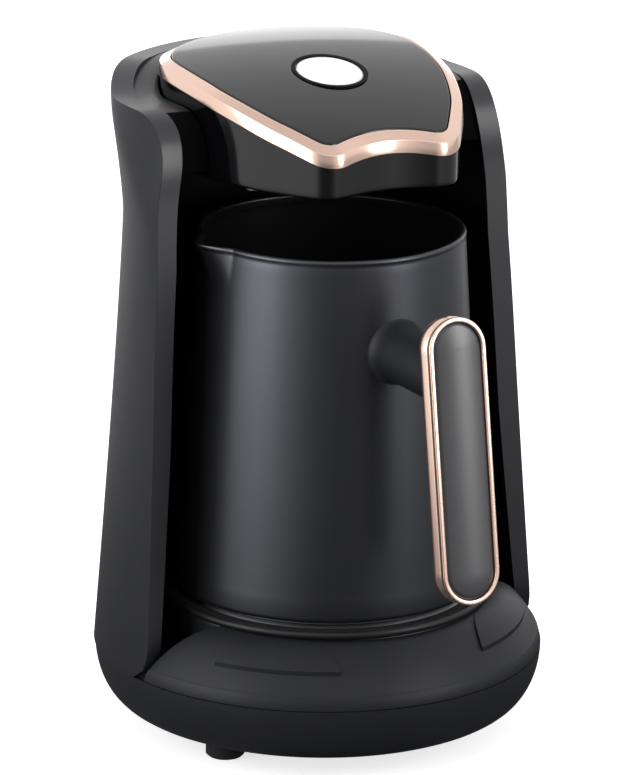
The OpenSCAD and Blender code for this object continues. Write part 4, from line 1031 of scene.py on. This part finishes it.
# floor, in metres: half its width, and between which distances it goes from FLOOR_DIM to white
FLOOR_HALF, FLOOR_DIM_R, FLOOR_WHITE_R = 4.0, 0.15, 0.8
FLOOR_DIM, FLOOR_GLOW = 0.1, 0.7    # the glow is what the eye sees on top of the lamps' light
LAMP_AIM = (0, 0, 110)


def soft_box(name, place, size, power, mirrored=True):
    """A large soft lamp turned to the object: its place in millimetres about the base's axis."""
    lamp = bpy.data.lights.new(name, "AREA")
    lamp.shape, lamp.size, lamp.size_y = "RECTANGLE", size[0] * MM, size[1] * MM
    lamp.energy = power
    made = add_object(name, lamp)
    made.location = point(*place)
    made.rotation_euler = (point(*LAMP_AIM) - point(*place)).to_track_quat("-Z", "Y").to_euler()
    made.visible_glossy = mirrored
    made.visible_camera = False


def ray_share(tree, *names):
    """1 on a ray of any of these kinds, else 0."""
    rays = node(tree, "LightPath").outputs
    share = rays[names[0]]
    for name in names[1:]:
        share = calc(tree, "MAXIMUM", share, rays[name])
    return share


def faded(tree, value, start, end, low, high):
    """A smooth run from low to high while value goes from start to end."""
    return node(tree, "MapRange", {"interpolation_type": "SMOOTHSTEP"}, _0=value, _1=start,
                _2=end, _3=low, _4=high).outputs[0]


def cosine(tree, towards, x, y):
    """How nearly a direction is the level one given."""
    made = node(tree, "VectorMath", {"operation": "DOT_PRODUCT"}, _0=towards, _1=(x, y, 0))
    return made.outputs["Value"]


def room_light(tree, towards, front, right):
    """How bright the room is in mirrors: dimmer round the camera, to the right and overhead."""
    behind = cosine(tree, towards, -sin(ROOM_TURN), cos(ROOM_TURN))
    round_us = faded(tree, behind, ROOM_FROM, ROOM_TO, front, ROOM_BACK)
    height = node(tree, "SeparateXYZ", _0=towards).outputs["Z"]
    overhead = faded(tree, height, TOP_FROM, TOP_TO, 1.0, ROOM_TOP)
    aside = cosine(tree, towards, cos(ROOM_TURN), sin(ROOM_TURN))
    beside = faded(tree, aside, RIGHT_FROM, 1.0, 1.0, right)
    return calc(tree, "MULTIPLY", calc(tree, "MULTIPLY", round_us, beside), overhead)


def make_world():
    """White for the eye, the room's light by direction for mirrors, an even fill for the rest."""
    world = bpy.data.worlds.new("studio")
    bpy.context.scene.world = world
    tree = empty_tree(world)
    towards = node(tree, "TexCoord").outputs["Generated"]
    mirror = ray_share(tree, "Is Glossy Ray", "Is Transmission Ray")
    room = node(tree, "Mix", {"data_type": "FLOAT"}, _0=mirror, _2=ROOM_FILL,
                _3=room_light(tree, towards, WALL_FRONT, WALL_RIGHT)).outputs[0]
    strength = node(tree, "Mix", {"data_type": "FLOAT"}, _0=ray_share(tree, "Is Camera Ray"),
                    _2=room, _3=1.0).outputs[0]
    back = node(tree, "Background", Color=(1, 1, 1, 1), Strength=strength)
    node(tree, "OutputWorld", _0=back.outputs[0])


def make_floor():
    """White paper floor: it keeps the shadow, glows for the eye, and dims as the room does."""
    bm = bmesh.new()
    bmesh.ops.create_grid(bm, x_segments=1, y_segments=1, size=FLOOR_HALF)
    mesh = bpy.data.meshes.new("floor")
    bm.to_mesh(mesh)
    bm.free()
    floor = add_object("floor", mesh)
    finish = bpy.data.materials.new("white_paper_floor")
    tree = empty_tree(finish)
    spot = node(tree, "TexCoord").outputs["Object"]
    away = node(tree, "VectorMath", {"operation": "LENGTH"}, _0=spot).outputs["Value"]
    level = node(tree, "VectorMath", {"operation": "NORMALIZE"}, _0=spot).outputs[0]
    far = faded(tree, away, FLOOR_DIM_R, FLOOR_WHITE_R, FLOOR_DIM, 1.0)
    far = calc(tree, "MULTIPLY", far, room_light(tree, level, FLOOR_FRONT, FLOOR_RIGHT))
    mirror = ray_share(tree, "Is Glossy Ray", "Is Transmission Ray")
    glow = calc(tree, "MULTIPLY_ADD", ray_share(tree, "Is Camera Ray"), FLOOR_GLOW,
                calc(tree, "MULTIPLY", mirror, far))
    paper = node(tree, "Mix", {"data_type": "RGBA"}, _0=mirror, _6=linear("#f4f4f4"),
                 _7=linear("#303030")).outputs[2]
    diffuse = node(tree, "BsdfDiffuse", Color=paper)
    shine = node(tree, "Emission", Color=(1, 1, 1, 1), Strength=glow)
    both = node(tree, "AddShader", _0=diffuse.outputs[0], _1=shine.outputs[0])
    node(tree, "OutputMaterial", _0=both.outputs[0])
    mesh.materials.append(finish)


bpy.context.scene.view_settings.view_transform = "Standard"
make_world()
make_floor()
soft_box("left_box", (-1000, -60, 400), (600, 800), 5.4)
soft_box("right_box", (530, -850, 450), (280, 700), 3.4)
soft_box("back_box", (720, 1300, 420), (1900, 420), 2.3)
soft_box("top_box", (-100, -100, 1200), (1000, 1000), 6.0, mirrored=False)


# ------------ finishes of the pieces carried over
CARRIED = {
    satin_abs: ["base_tray"],
    dull_abs_and_painted_shade: ["foam_sensor", "head_underside", "button_well", "cord_gland", "switch_body",
               "buzzer", "relay"],
    rubber: ["foot_front_left", "foot_front_right", "foot_rear_left", "foot_rear_right",
             "plate_gasket"],
    steel: ["base_screws", "hot_plate", "heating_element", "plate_bracket", "bracket_screws",
            "board_screws", "head_screws", "control_screws", "handle_screw", "handle_stud",
            "jug_base_disc", "button_spring", "thermal_fuse"],
    ring_enamel: ["seat_ring"],
    board_epoxy: ["power_board", "control_board"],
    sleeve_pvc: ["capacitor"],
    nylon: ["terminal_block", "switch_plunger"],
    phenolic: ["thermostat"],
    cable_pvc: ["head_cable"],
    red_acrylic: ["sensor_window"],
}
for finish, names in CARRIED.items():
    for name in names:
        nodes[name].data.materials.clear()
        nodes[name].data.materials.append(finish)
